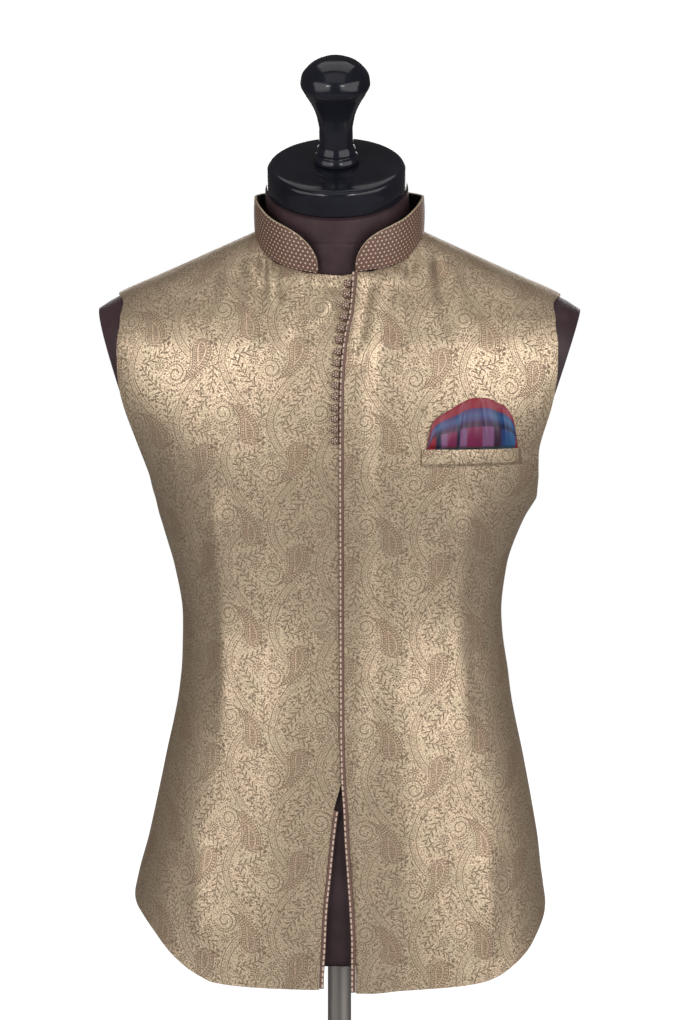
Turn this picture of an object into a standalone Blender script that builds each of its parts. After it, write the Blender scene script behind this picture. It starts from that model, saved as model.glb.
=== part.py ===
"""Sleeveless stand-collar waistcoat in brocade, worn by a limbless dress form on a short stand.

The front faces -Y, +X is the wearer's left, +Z is up, and the origin is the centre of the base's underside.
The cloth lies on one smooth body surface. A place on it is a turn, in degrees round from the front centre
(90 is the wearer's left side, 180 the back), and a height above the floor.
"""

import math
from collections import namedtuple

import bmesh
import bpy
import numpy as np
from mathutils import Matrix, Vector

MM = 0.001

# Cloth and seams
CLOTH = 1.6 * MM
COLLAR_CLOTH = 2.4 * MM
SEAM = 0.3 * MM
LAP_ROOM = 0.7 * MM

# Heights of the garment's own lines
HEM = 0.1960
VENT_TOP = 0.3250
UNDERARM = 0.6544
SHOULDER_TIP = 0.8512
NECK_SIDE = 0.9115

# Side vents
VENT_OPENING_DEG = 1.6

# Neckline, as an oval seen from above
NECK_HALF_WIDTH = 0.0798
NECK_FRONT = 0.0795
NECK_BACK = 0.0760
NECK_SQUARENESS = 0.86

# Armholes, as ovals seen from the side
ARMHOLE_FRONT = 0.0690
ARMHOLE_BACK = 0.0715
ARMHOLE_ROUND_BELOW = 1.95
ARMHOLE_ROUND_ABOVE = 3.2

# Collar
NECK_LEAN = -0.0022
COLLAR_CORNER = 0.0440
COLLAR_END_HEIGHT = 0.0050
COLLAR_LEAN_DEG = 9.0
COLLAR_END_GAP = 0.0012
COLLAR_ROOM = 0.9 * MM

# Front edges, piping, buttons and loops
PIPING_RADIUS = 1.5 * MM
EDGE_TO_PIPING = PIPING_RADIUS + 3 * SEAM
LAP_FADE = 0.0260
RIGHT_PIPING_TOP = 0.3700
BUTTON_COUNT = 15
BUTTON_TOP = 0.8705
BUTTON_BOTTOM = 0.7280
BUTTON_RADIUS = 3.8 * MM
BUTTON_RISE = 5.4 * MM
SHANK_RADIUS = 1.2 * MM
BUTTON_FROM_PIPING = 6.2 * MM
LOOP_RADIUS = 0.85 * MM
FASTENING_GAP = 0.52 * MM
LOOP_TURN = SHANK_RADIUS + LOOP_RADIUS + FASTENING_GAP

# Breast pocket
WELT_LEFT = 0.0810
WELT_RIGHT = 0.1720
WELT_TOP_INNER = 0.7190
WELT_TOP_OUTER = 0.7165
WELT_HEIGHT = 0.0160
SQUARE_HEIGHT = 0.0470
SQUARE_BULGE = 0.0100

# Dress form and stand
FORM_BOTTOM = 0.2150
PLATE_X = 0.2309
PLATE_HEIGHT = 0.8349
PLATE_SLOPE = 0.3300
POLE_RADIUS = 0.0115
BASE_RADIUS = 0.1500
BASE_THICKNESS = 0.0100
BOSS_RADIUS = 0.0240
BOSS_HEIGHT = 0.0340

# The body surface under the cloth: half its width, its depth in front of and behind the side line, and how
# square it is (1 is an ellipse, less is squarer).
BodyRow = namedtuple("BodyRow", "height half_width front back squareness")
BODY = (
    BodyRow(0.1800, 0.2128, 0.1290, 0.1370, 0.90),
    BodyRow(0.2540, 0.2010, 0.1270, 0.1350, 0.90),
    BodyRow(0.3260, 0.1874, 0.1235, 0.1310, 0.90),
    BodyRow(0.3980, 0.1732, 0.1200, 0.1220, 0.90),
    BodyRow(0.4700, 0.1591, 0.1165, 0.1110, 0.90),
    BodyRow(0.5410, 0.1533, 0.1135, 0.1050, 0.90),
    BodyRow(0.5880, 0.1594, 0.1155, 0.1070, 0.89),
    BodyRow(0.6240, 0.1702, 0.1180, 0.1110, 0.88),
    BodyRow(0.6544, 0.1823, 0.1210, 0.1150, 0.88),
    BodyRow(0.7063, 0.2080, 0.1240, 0.1205, 0.88),
    BodyRow(0.7532, 0.2345, 0.1215, 0.1235, 0.88),
    BodyRow(0.7850, 0.2440, 0.1165, 0.1230, 0.88),
    BodyRow(0.8110, 0.2465, 0.1105, 0.1200, 0.90),
    BodyRow(0.8335, 0.2390, 0.1010, 0.1140, 0.93),
    BodyRow(0.8512, 0.2122, 0.0925, 0.1070, 0.96),
    BodyRow(0.8670, 0.1775, 0.0845, 0.0995, 1.00),
    BodyRow(0.8790, 0.1505, 0.0795, 0.0945, 1.00),
    BodyRow(0.8865, 0.1340, 0.0700, 0.0908, 1.00),
    BodyRow(0.8940, 0.1175, 0.0600, 0.0872, 1.00),
    BodyRow(0.9045, 0.0940, 0.0500, 0.0820, 1.00),
    BodyRow(0.9115, 0.0798, 0.0450, 0.0792, 1.00),
    BodyRow(0.9220, 0.0680, 0.0430, 0.0760, 1.00),
    BodyRow(0.9300, 0.0650, 0.0420, 0.0740, 1.00),
)

# How far the form lies inside that surface, up to the root of the neck.
InsetRow = namedtuple("InsetRow", "height inset side")
INSET = (
    InsetRow(0.2150, 0.0100, 0.0550),
    InsetRow(0.2350, 0.0090, 0.0400),
    InsetRow(0.2550, 0.0082, 0.0270),
    InsetRow(0.3000, 0.0066, 0.0120),
    InsetRow(0.3500, 0.0050, 0.0060),
    InsetRow(0.4500, 0.0032, 0.0032),
    InsetRow(0.6000, 0.0032, 0.0032),
    InsetRow(0.6544, 0.0050, 0.0050),
    InsetRow(0.7000, 0.0026, 0.0026),
    InsetRow(0.7900, 0.0028, 0.0028),
    InsetRow(0.8150, 0.0034, 0.0034),
    InsetRow(0.8400, 0.0032, 0.0032),
    InsetRow(0.8533, 0.0025, 0.0025),
    InsetRow(0.8750, 0.0027, 0.0027),
)

# The form above that: the root of the neck and the neck, which leans forward. Roof is the power that
# hollows the slope beside the neck, and centre is the ring's middle in Y.
NeckRow = namedtuple("NeckRow", "height half_width front back roof centre tilt_deg")
NECK = (
    NeckRow(0.8790, 0.1474, 0.0708, 0.0920, 1.02, 0.0, 0.0),
    NeckRow(0.8865, 0.1300, 0.0718, 0.0872, 1.85, 0.0, 0.0),
    NeckRow(0.8940, 0.1128, 0.0731, 0.0820, 2.05, 0.0, 0.0),
    NeckRow(0.9030, 0.0932, 0.0748, 0.0757, 1.90, 0.0, 0.5),
    NeckRow(0.9110, 0.0778, 0.0757, 0.0710, 1.50, 0.0, 3.0),
    NeckRow(0.9200, 0.0716, 0.0743, 0.0690, 1.20, -0.0020, 7.5),
    NeckRow(0.9310, 0.0690, 0.0716, 0.0680, 1.05, -0.0055, 12.5),
    NeckRow(0.9545, 0.0685, 0.0685, 0.0685, 1.00, -0.0120, 19.0),
)

# The front edges: the piping on the wearer's left edge, and the wearer's right edge, which runs on under the
# left one above the split.
EdgeRow = namedtuple("EdgeRow", "height left right")
EDGES = (
    EdgeRow(0.1800, 0.0175, -0.0128),
    EdgeRow(0.2000, 0.0175, -0.0128),
    EdgeRow(0.2355, 0.0175, -0.0109),
    EdgeRow(0.2720, 0.0160, -0.0092),
    EdgeRow(0.3080, 0.0135, -0.0056),
    EdgeRow(0.3450, 0.0110, -0.0020),
    EdgeRow(0.3720, 0.0098, 0.0016),
    EdgeRow(0.4000, 0.0078, 0.0090),
    EdgeRow(0.4600, 0.0065, 0.0170),
    EdgeRow(0.5600, 0.0060, 0.0200),
    EdgeRow(0.7600, 0.0060, 0.0200),
    EdgeRow(0.7870, 0.0065, 0.0200),
    EdgeRow(0.8080, 0.0080, 0.0200),
    EdgeRow(0.8280, 0.0107, 0.0205),
    EdgeRow(0.8450, 0.0145, 0.0215),
    EdgeRow(0.8640, 0.0160, 0.0225),
    EdgeRow(0.8950, 0.0172, 0.0230),
)

# The front's hem, level in the middle and rising round the corner to the side vent.
HemRow = namedtuple("HemRow", "turn left right back")
HEM_CURVE = (
    HemRow(0.0, -0.0022, 0.0000, 0.0000),
    HemRow(8.0, -0.0035, 0.0000, 0.0000),
    HemRow(15.0, -0.0014, 0.0000, 0.0000),
    HemRow(24.0, -0.0006, 0.0004, 0.0010),
    HemRow(32.0, -0.0002, 0.0022, 0.0030),
    HemRow(36.0, 0.0004, 0.0064, 0.0066),
    HemRow(40.0, 0.0014, 0.0114, 0.0116),
    HemRow(46.3, 0.0055, 0.0210, 0.0214),
    HemRow(52.8, 0.0130, 0.0325, 0.0330),
    HemRow(58.5, 0.0205, 0.0425, 0.0435),
    HemRow(63.3, 0.0275, 0.0490, 0.0505),
    HemRow(69.2, 0.0375, 0.0555, 0.0580),
    HemRow(75.8, 0.0465, 0.0605, 0.0640),
    HemRow(82.4, 0.0545, 0.0655, 0.0700),
    HemRow(90.0, 0.0640, 0.0730, 0.0790),
)

# Height of the collar, from its front end at 0 to the centre back at 1.
COLLAR_HEIGHTS = (
    (0.00, 0.0385),
    (0.24, 0.0385),
    (0.36, 0.0362),
    (0.50, 0.0332),
    (0.64, 0.0340),
    (0.82, 0.0362),
    (0.94, 0.0370),
    (1.00, 0.0370),
)

# How far the body's sides lie to the wearer's left of its own centre, at these heights.
SWAY = (
    (0.2600, 0.0000),
    (0.2840, 0.0008),
    (0.3240, 0.0038),
    (0.4000, 0.0050),
    (0.4800, 0.0052),
    (0.5200, 0.0032),
    (0.5600, 0.0020),
    (0.6000, 0.0010),
    (0.6380, 0.0028),
    (0.6620, 0.0066),
    (0.6800, 0.0066),
    (0.6970, 0.0044),
    (0.7160, 0.0014),
    (0.7600, 0.0000),
)

# The neck cap, turned with a low dome: height above its underside and radius.
CAP = (
    (0.0285, 0.0000),
    (0.0283, 0.0300),
    (0.0278, 0.0500),
    (0.0268, 0.0600),
    (0.0250, 0.0640),
    (0.0222, 0.0662),
    (0.0135, 0.0668),
    (0.0000, 0.0668),
    (0.0000, 0.0000),
)

# The knob on the neck cap: height above the cap and radius.
KNOB = (
    (0.1076, 0.0000),
    (0.1067, 0.0090),
    (0.1033, 0.0185),
    (0.0972, 0.0270),
    (0.0892, 0.0325),
    (0.0817, 0.0336),
    (0.0739, 0.0306),
    (0.0654, 0.0258),
    (0.0564, 0.0214),
    (0.0463, 0.0182),
    (0.0335, 0.0163),
    (0.0190, 0.0163),
    (0.0150, 0.0180),
    (0.0120, 0.0190),
    (0.0100, 0.0182),
    (0.0080, 0.0200),
    (0.0045, 0.0218),
    (0.0015, 0.0210),
    (0.0004, 0.0195),
    (0.0004, 0.0000),
)

FORM_RINGS = (0.215, 0.222, 0.236, 0.255, 0.300, 0.350, 0.400, 0.450, 0.500, 0.545, 0.590, 0.625, 0.655, 0.690,
              0.725, 0.760, 0.790, 0.812, 0.830, 0.842, 0.853, 0.862, 0.873)
FORM_SIDES = 36

# Grid of the panels: rows below the underarm, beside the armhole and beside the neckline, and where the
# columns run across. The left front's are closer where it steps up over the right one.
ROWS_BELOW = 13
ROWS_ARMHOLE = 9
ROWS_NECK = 8
LEFT_COLUMNS = np.array([0, 0.038, 0.076, 0.12, 0.19, 0.27, 0.36, 0.46, 0.56, 0.67, 0.78, 0.89, 1])
RIGHT_COLUMNS = np.linspace(0, 1, 12)
BACK_COLUMNS = np.linspace(0, 1, 10)


def smooth_curve(x, y, values):
    """A curve through the points x, y that never overshoots them, read at any values."""
    x, y = np.array(x), np.array(y)
    step = np.diff(x)
    slope = np.diff(y) / step
    tangent = np.zeros_like(y)
    tangent[0], tangent[-1] = slope[0], slope[-1]
    same_way = slope[:-1] * slope[1:] > 0
    before = 2 * step[1:] + step[:-1]
    after = step[1:] + 2 * step[:-1]
    safe = np.where(same_way, slope[:-1] * slope[1:], 1.0)
    mean = (before + after) * safe / (before * slope[1:] + after * slope[:-1] + (~same_way))
    tangent[1:-1] = np.where(same_way, mean, 0.0)
    at = np.clip(np.asarray(values, float), x[0], x[-1])
    k = np.clip(np.searchsorted(x, at) - 1, 0, len(step) - 1)
    u = (at - x[k]) / step[k]
    rise = y[k] * (1 + 2 * u) * (1 - u) ** 2 + y[k + 1] * u**2 * (3 - 2 * u)
    return rise + step[k] * (tangent[k] * u * (1 - u) ** 2 - tangent[k + 1] * u**2 * (1 - u))


def smooth_table(rows, column, heights):
    """A column of a table of heights, read at any height."""
    return smooth_curve([row.height for row in rows], [getattr(row, column) for row in rows], heights)


def ease(value, low, high):
    """0 at low, 1 at high, and smooth between them."""
    u = np.clip((np.asarray(value, float) - low) / (high - low), 0, 1)
    return u * u * (3 - 2 * u)


def signed_power(value, power):
    return np.sign(value) * np.abs(value) ** power


def surface(turn, height):
    """Points of the body surface."""
    turn = np.radians(np.asarray(turn, float))
    power = smooth_table(BODY, "squareness", height)
    sway = smooth_curve(*zip(*SWAY), height) * np.sin(turn) ** 2
    side = signed_power(np.sin(turn), power) * smooth_table(BODY, "half_width", height) + sway
    forward = signed_power(np.cos(turn), power)
    depth = np.where(forward > 0, smooth_table(BODY, "front", height), smooth_table(BODY, "back", height))
    return np.stack([side, -forward * depth, np.broadcast_to(height, side.shape)], axis=-1)


def cloth_point(turn, height, out):
    """Points at a distance out from the body surface, square to it."""
    small_turn, small_height = 0.4, 0.0004
    across = surface(turn + small_turn, height) - surface(turn - small_turn, height)
    up = surface(turn, height + small_height) - surface(turn, height - small_height)
    normal = np.cross(across, up)
    normal /= np.linalg.norm(normal, axis=-1, keepdims=True)
    return surface(turn, height) + normal * np.asarray(out)[..., None]


def turn_at(x, height):
    """The turn, on the front, at which the body surface is this far to the side."""
    share = np.clip(np.abs(x) / smooth_table(BODY, "half_width", height), 0, 1)
    power = 1 / smooth_table(BODY, "squareness", height)
    return np.sign(x) * np.degrees(np.arcsin(share**power))


def on_front(x, height, out):
    x, height = np.broadcast_arrays(np.asarray(x, float), np.asarray(height, float))
    return cloth_point(turn_at(x, height), height, out)


def left_edge(height):
    return smooth_table(EDGES, "left", height)


def right_edge(height):
    return smooth_table(EDGES, "right", height)


def lap_lift(x, height):
    """How far the left front is raised where it lies over the right one."""
    full = CLOTH + LAP_ROOM
    fades = 1 - ease(x, right_edge(height) + 0.002, right_edge(height) + LAP_FADE)
    return full * fades * ease(height, 0.345, 0.400)


def neckline(angle):
    """Turn and height of the neckline, angle degrees round it from the front centre."""
    angle = np.radians(np.asarray(angle, float))
    x = NECK_HALF_WIDTH * signed_power(np.sin(angle), NECK_SQUARENESS)
    forward = signed_power(np.cos(angle), NECK_SQUARENESS)
    y = np.where(forward > 0, NECK_FRONT, NECK_BACK) * np.abs(forward)
    low, high = np.full(x.shape, 0.870), np.full(x.shape, 0.930)
    for _ in range(40):
        middle = (low + high) / 2
        depth = np.where(forward > 0, smooth_table(BODY, "front", middle), smooth_table(BODY, "back", middle))
        width = smooth_table(BODY, "half_width", middle)
        power = 2 / smooth_table(BODY, "squareness", middle)
        outside = np.abs(x / width) ** power + (y / depth) ** power > 1
        high = np.where(outside, middle, high)
        low = np.where(outside, low, middle)
    height = (low + high) / 2
    share = np.clip(np.abs(x) / smooth_table(BODY, "half_width", height), 0, 1)
    turn = np.degrees(np.arcsin(share ** (1 / smooth_table(BODY, "squareness", height))))
    turn = np.where(forward > 0, turn, 180 - turn) * np.sign(x + 1e-12)
    return turn, height


def armhole(share, depth, body_column):
    """Distance of the armhole's edge from the side line, in degrees of turn, and its height. Share runs
    from 0 at the underarm to 1 at the shoulder tip."""
    middle = (SHOULDER_TIP + UNDERARM) / 2
    reach = (SHOULDER_TIP - UNDERARM) / 2
    angle = np.pi * np.asarray(share, float)
    power = 2 / np.where(share < 0.5, ARMHOLE_ROUND_BELOW, ARMHOLE_ROUND_ABOVE)
    height = middle - reach * signed_power(np.cos(angle), power)
    away = depth * np.abs(np.sin(angle)) ** power
    ratio = np.clip(away / smooth_table(BODY, body_column, height), 0, 1)
    return 90 - np.degrees(np.arccos(ratio ** (1 / smooth_table(BODY, "squareness", height)))), height


def seam_turn(height):
    """Half the gap at the side seam and shoulder seam, in degrees, with the vent's opening below."""
    return 0.18 + VENT_OPENING_DEG * (1 - ease(height, HEM, VENT_TOP))


def hem_height(turn_from_centre, panel):
    """Height of the hem of the left front, the right front or the back."""
    turns = [row.turn for row in HEM_CURVE]
    return HEM + smooth_curve(turns, [getattr(row, panel) for row in HEM_CURVE], turn_from_centre)


def patch(bottom, top, start, end, columns):
    """A grid of (turn, height) places between four edges, each an array of such pairs, with its columns at
    these shares of the way across."""
    w = columns[None, :, None]
    r = np.linspace(0, 1, len(start))[:, None, None]
    corners = (
        (1 - r) * ((1 - w) * bottom[0] + w * bottom[-1])
        + r * ((1 - w) * top[0] + w * top[-1])
    )
    across = (1 - w) * start[:, None] + w * end[:, None]
    return across + (1 - r) * bottom[None] + r * top[None] - corners


def pairs(turn, height):
    return np.stack(np.broadcast_arrays(np.asarray(turn, float), np.asarray(height, float)), axis=-1)


def neck_angle(x):
    """The angle round the neckline, in front, that is this far to the side."""
    share = np.abs(np.asarray(x, float) / NECK_HALF_WIDTH)
    return float(np.sign(x) * np.degrees(np.arcsin(share ** (1 / NECK_SQUARENESS))))


def front_neck_angles(edge_x, rows):
    return np.linspace(neck_angle(edge_x), 90, rows + 1)


def back_neck_angles(rows):
    return np.linspace(180, 90, rows + 1)


def centre_rows(neck_height, low=HEM):
    """Heights of the panels' rows at their front edge or centre back, below the neck."""
    return np.concatenate([
        np.linspace(low, 0.655, ROWS_BELOW + 1)[:-1],
        np.linspace(0.655, neck_height, ROWS_ARMHOLE + 1)[:-1],
    ])


def edge_foot(edge_x, panel):
    """Height of a front's hem at its front edge."""
    return float(hem_height(turn_at(edge_x(HEM), HEM), panel))


def front_grid(edge_x, w, panel):
    """Places of a front panel, as if on the wearer's left. edge_x gives its front edge at a height, and w
    where its columns run."""
    neck_turn, neck_height = neckline(front_neck_angles(edge_x(0.8790), ROWS_NECK))
    neck_turn[-1] = 90 - seam_turn(NECK_SIDE)
    centre_height = centre_rows(neck_height[0], edge_foot(edge_x, panel))
    start = np.concatenate([
        pairs(turn_at(edge_x(centre_height), centre_height), centre_height),
        pairs(neck_turn, neck_height),
    ])
    side_height = np.linspace(hem_height(90.0, panel), UNDERARM, ROWS_BELOW + 1)[:-1]
    share = np.concatenate([
        np.linspace(0, 0.62, ROWS_ARMHOLE + 1)[:-1],
        np.linspace(0.62, 1, ROWS_NECK + 1),
    ])
    arm_turn, arm_height = armhole(share, ARMHOLE_FRONT, "front")
    end = np.concatenate([
        pairs(90 - seam_turn(side_height), side_height),
        pairs(np.minimum(90 - arm_turn, 90 - seam_turn(arm_height)), arm_height),
    ])
    hem_turn = start[0, 0] + (end[0, 0] - start[0, 0]) * w
    top = pairs(90 - seam_turn(NECK_SIDE), neck_height[-1] + (SHOULDER_TIP - neck_height[-1]) * w)
    return patch(pairs(hem_turn, hem_height(hem_turn, panel)), top, start, end, w)


def back_grid(w):
    """Places of the wearer's left half of the back, from the centre back to the side."""
    neck_turn, neck_height = neckline(back_neck_angles(ROWS_NECK))
    neck_turn[0] = 180
    neck_turn[-1] = 90 + seam_turn(NECK_SIDE)
    centre_height = centre_rows(neck_height[0])
    start = np.concatenate([pairs(180, centre_height), pairs(neck_turn, neck_height)])
    side_height = np.linspace(hem_height(90.0, "back"), UNDERARM, ROWS_BELOW + 1)[:-1]
    share = np.concatenate([
        np.linspace(0, 0.62, ROWS_ARMHOLE + 1)[:-1],
        np.linspace(0.62, 1, ROWS_NECK + 1),
    ])
    arm_turn, arm_height = armhole(share, ARMHOLE_BACK, "back")
    end = np.concatenate([
        pairs(90 + seam_turn(side_height), side_height),
        pairs(np.maximum(90 + arm_turn, 90 + seam_turn(arm_height)), arm_height),
    ])
    hem_turn = start[0, 0] + (end[0, 0] - start[0, 0]) * w
    top = pairs(90 + seam_turn(NECK_SIDE), neck_height[-1] + (SHOULDER_TIP - neck_height[-1]) * w)
    return patch(pairs(hem_turn, hem_height(180 - hem_turn, "back")), top, start, end, w)


def clear_scene():
    for obj in list(bpy.data.objects):
        bpy.data.objects.remove(obj, do_unlink=True)


def collection(name):
    made = bpy.data.collections.new(name)
    bpy.context.scene.collection.children.link(made)
    return made


def material(name, colour, roughness, metallic=0.0):
    made = bpy.data.materials.new(name)
    made.use_nodes = True
    shader = made.node_tree.nodes["Principled BSDF"]
    shader.inputs["Base Color"].default_value = (*colour, 1.0)
    shader.inputs["Roughness"].default_value = roughness
    shader.inputs["Metallic"].default_value = metallic
    return made


def add_object(name, data, finish, group):
    data.materials.append(finish)
    made = bpy.data.objects.new(name, data)
    group.objects.link(made)
    return made


def grid_mesh(name, points, flip=False, wrap=False, capped=False):
    """A mesh from a grid of points, rows by columns. Wrap joins the last column to the first, and capped
    closes the first and last rows."""
    rows, columns = points.shape[:2]
    count = columns if wrap else columns - 1
    faces = []
    for i in range(rows - 1):
        for j in range(count):
            k = (j + 1) % columns
            quad = (i * columns + j, i * columns + k, (i + 1) * columns + k, (i + 1) * columns + j)
            faces.append(quad[::-1] if flip else quad)
    if capped:
        ring = list(range(columns))
        faces.append(ring if flip else ring[::-1])
        last = [(rows - 1) * columns + j for j in ring]
        faces.append(last[::-1] if flip else last)
    mesh = bpy.data.meshes.new(name)
    mesh.from_pydata(points.reshape(-1, 3).tolist(), [], faces)
    mesh.shade_smooth()
    return mesh


def thicken(panel, thickness):
    wall = panel.modifiers.new("Thickness", "SOLIDIFY")
    wall.thickness = thickness
    wall.offset = 1.0


def cloth_panel(name, points, finish, group, thickness=CLOTH, flip=False):
    """An open sheet of cloth, made thick outwards."""
    thicken(add_object(name, grid_mesh(name, points, flip), finish, group), thickness)


def mirror_points(points):
    mirrored = points.copy()
    mirrored[..., 0] *= -1
    return mirrored


def left_cloth_edge(height):
    return left_edge(height) + EDGE_TO_PIPING


def right_cloth_edge(height):
    """The right front's edge as the mirrored panel sees it, below zero where it runs past the centre."""
    return EDGE_TO_PIPING - right_edge(height)


def make_fronts(brocade, group):
    left = front_grid(left_cloth_edge, LEFT_COLUMNS, "left")
    flat = surface(left[..., 0], left[..., 1])
    lift = lap_lift(flat[..., 0], left[..., 1])
    cloth_panel("front_left", cloth_point(left[..., 0], left[..., 1], lift), brocade, group)
    right = front_grid(right_cloth_edge, RIGHT_COLUMNS, "right")
    points = mirror_points(surface(right[..., 0], right[..., 1]))
    cloth_panel("front_right", points, brocade, group, flip=True)


def make_back(brocade, group):
    """Both halves of the back in one panel, joined down the centre line below the neck."""
    half = back_grid(BACK_COLUMNS)
    left = surface(half[..., 0], half[..., 1])[:, ::-1]
    joined = grid_mesh("back_half", left)
    panel = grid_mesh("back_panel", mirror_points(left), flip=True)
    halves = bmesh.new()
    halves.from_mesh(panel)
    halves.from_mesh(joined)
    bmesh.ops.remove_doubles(halves, verts=halves.verts, dist=0.00001)
    halves.to_mesh(panel)
    halves.free()
    bpy.data.meshes.remove(joined)
    thicken(add_object("back_panel", panel, brocade, group), CLOTH)


def collar_base(angle):
    """The foot of the collar, on the rim of the panels, and the way that its wall rises."""
    turn, height = neckline(angle)
    flat = surface(turn, height)
    in_front = (np.abs(turn) < 90) & (flat[..., 0] > 0)
    lift = np.where(in_front, lap_lift(flat[..., 0], height), 0.0)
    rim = cloth_point(turn, height, lift)
    top = cloth_point(turn, height, lift + CLOTH)
    lean = math.radians(COLLAR_LEAN_DEG)
    rise = np.array([0.0, -math.sin(lean), math.cos(lean)])
    clear = np.maximum((top - rim) @ rise, 0.0) + COLLAR_ROOM
    return (rim + top) / 2 + rise * (clear - (top - rim) @ rise / 2)[..., None], rise


def collar_angles():
    """Angles round the neckline from the right end of the collar, by the back, to its left end, where the
    panels below have their own points."""
    end = neck_angle(left_edge(0.8790) + COLLAR_END_GAP)
    right = front_neck_angles(right_cloth_edge(0.8790), ROWS_NECK)
    left = front_neck_angles(left_cloth_edge(0.8790), ROWS_NECK)
    back = back_neck_angles(ROWS_NECK)
    return np.concatenate([
        [-end],
        -right[right > end + 2],
        -back[::-1][1:-1],
        back,
        left[left > end + 2][::-1][1:],
        [end],
    ])


def make_collar(contrast, group):
    levels = 5
    foot, rise = collar_base(collar_angles())
    along = np.concatenate([[0], np.cumsum(np.linalg.norm(np.diff(foot, axis=0), axis=1))])
    from_end = np.minimum(along, along[-1] - along)
    share = np.clip(from_end / COLLAR_CORNER, 0, 1)
    full = smooth_curve(*zip(*COLLAR_HEIGHTS), from_end / from_end.max())
    tall = COLLAR_END_HEIGHT + (full - COLLAR_END_HEIGHT) * np.sqrt(1 - (1 - share) ** 2.2)
    outward = foot * [1, 1, 0]
    outward /= np.linalg.norm(outward, axis=1, keepdims=True)
    foot = foot - outward * COLLAR_CLOTH / 2
    levels_up = np.linspace(0, 1, levels)[:, None, None]
    points = foot[None] + rise * tall[None, :, None] * levels_up
    cloth_panel("collar", points, contrast, group, COLLAR_CLOTH, flip=True)


def tube(name, points, radius, finish, group, resolution=1):
    """A round bar along a line of points, with filled caps."""
    curve = bpy.data.curves.new(name, "CURVE")
    curve.dimensions = "3D"
    curve.bevel_depth = radius
    curve.bevel_resolution = resolution
    curve.use_fill_caps = True
    line = curve.splines.new("POLY")
    line.points.add(len(points) - 1)
    for place, point in zip(line.points, points):
        place.co = (*point, 1.0)
    return add_object(name, curve, finish, group)


def piping_heights():
    """Heights of the left piping's bends, level with the rows of the cloth that it edges."""
    top = float(neckline(neck_angle(left_cloth_edge(0.8790)))[1])
    heights = np.append(centre_rows(top, edge_foot(left_cloth_edge, "left")), top)
    heights[0] += PIPING_RADIUS
    return heights


def make_piping(contrast, group):
    """Contrast piping on both front edges, on the right only where the edge is in sight."""
    heights = piping_heights()
    out = CLOTH + SEAM * 1.5 + PIPING_RADIUS
    tube("piping_left", on_front(left_edge(heights), heights, out), PIPING_RADIUS, contrast, group)
    heights = np.linspace(HEM + PIPING_RADIUS, RIGHT_PIPING_TOP, 12)
    out = CLOTH / 2 + 0.0003
    tube("piping_right", on_front(right_edge(heights), heights, out), PIPING_RADIUS, contrast, group)


def turned(name, profile, steps, finish, group):
    """A solid of revolution. The profile's (height, radius) points run from the top down its outer side."""
    mesh = bpy.data.meshes.new(name)
    points = [(radius, 0.0, height) for height, radius in profile]
    mesh.from_pydata(points, [(i, i + 1) for i in range(len(points) - 1)], [])
    made = add_object(name, mesh, finish, group)
    spin = made.modifiers.new("Turn", "SCREW")
    spin.angle = 2 * math.pi
    spin.steps = steps
    spin.render_steps = steps
    spin.use_merge_vertices = True
    spin.merge_threshold = 0.00001
    spin.use_smooth_shade = True
    return made


def button_profile():
    """A ball on a short shank, standing on the cloth at height 0."""
    angles = np.radians([90, 52, 17, -18, -55])
    ball = [(BUTTON_RISE + BUTTON_RADIUS * math.sin(a), BUTTON_RADIUS * math.cos(a)) for a in angles]
    ball[0] = (ball[0][0], 0.0)
    return ball + [(BUTTON_RISE - BUTTON_RADIUS * 0.95, SHANK_RADIUS), (0.0, SHANK_RADIUS), (0.0, 0.0)]


def place_on_front(obj, x, height, out):
    """Moves an object's origin to the front, its own Z square to the cloth."""
    foot = Vector(on_front(x, height, out))
    normal = (Vector(on_front(x, height, out + 0.01)) - foot).normalized()
    side = Vector((1, 0, 0)) - normal * normal.x
    side.normalize()
    turn = Matrix((side, normal.cross(side), normal)).transposed()
    obj.matrix_world = Matrix.Translation(foot) @ turn.to_4x4()


def make_buttons(contrast, group):
    """Ball buttons on the right front, each held by a loop from the left edge's piping."""
    heights = np.linspace(BUTTON_TOP, BUTTON_BOTTOM, BUTTON_COUNT)
    bends = piping_heights()
    bend = np.radians(np.linspace(90, 270, 6))
    for number, height in enumerate(heights, 1):
        piping_x = float(left_edge(height))
        x = piping_x - BUTTON_FROM_PIPING
        button = turned(f"button_{number:02d}", button_profile(), 8, contrast, group)
        place_on_front(button, x, height, CLOTH + FASTENING_GAP)
        ends = np.array([height + LOOP_TURN, height - LOOP_TURN])
        root = np.interp(ends, bends, left_edge(bends)) - PIPING_RADIUS - 1.5 * SEAM
        loop_x = np.concatenate([root[:1], x + LOOP_TURN * np.cos(bend), root[1:]])
        loop_height = np.concatenate([ends[:1], height + LOOP_TURN * np.sin(bend), ends[1:]])
        out = np.full(loop_x.shape, CLOTH + FASTENING_GAP + LOOP_RADIUS)
        path = on_front(loop_x, loop_height, out)
        tube(f"loop_{number:02d}", path, LOOP_RADIUS, contrast, group, resolution=0)


def make_welt(brocade, group):
    columns, rows = 9, 3
    across = np.linspace(0, 1, columns)[None, :]
    up = np.linspace(0, 1, rows)[:, None]
    x = WELT_LEFT + (WELT_RIGHT - WELT_LEFT) * across + 0 * up
    top = WELT_TOP_INNER + (WELT_TOP_OUTER - WELT_TOP_INNER) * across
    height = top - WELT_HEIGHT * (1 - up)
    points = on_front(x, height, CLOTH + 2 * SEAM)
    cloth_panel("pocket_welt", points, brocade, group)


def square_outline(across):
    """Height of the folded square above the welt, from 0 at its ends to 1 at its crown."""
    return (1 - np.abs(2 * across - 1.12) ** 2.6 / 1.12**2.6) ** 0.62


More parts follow.
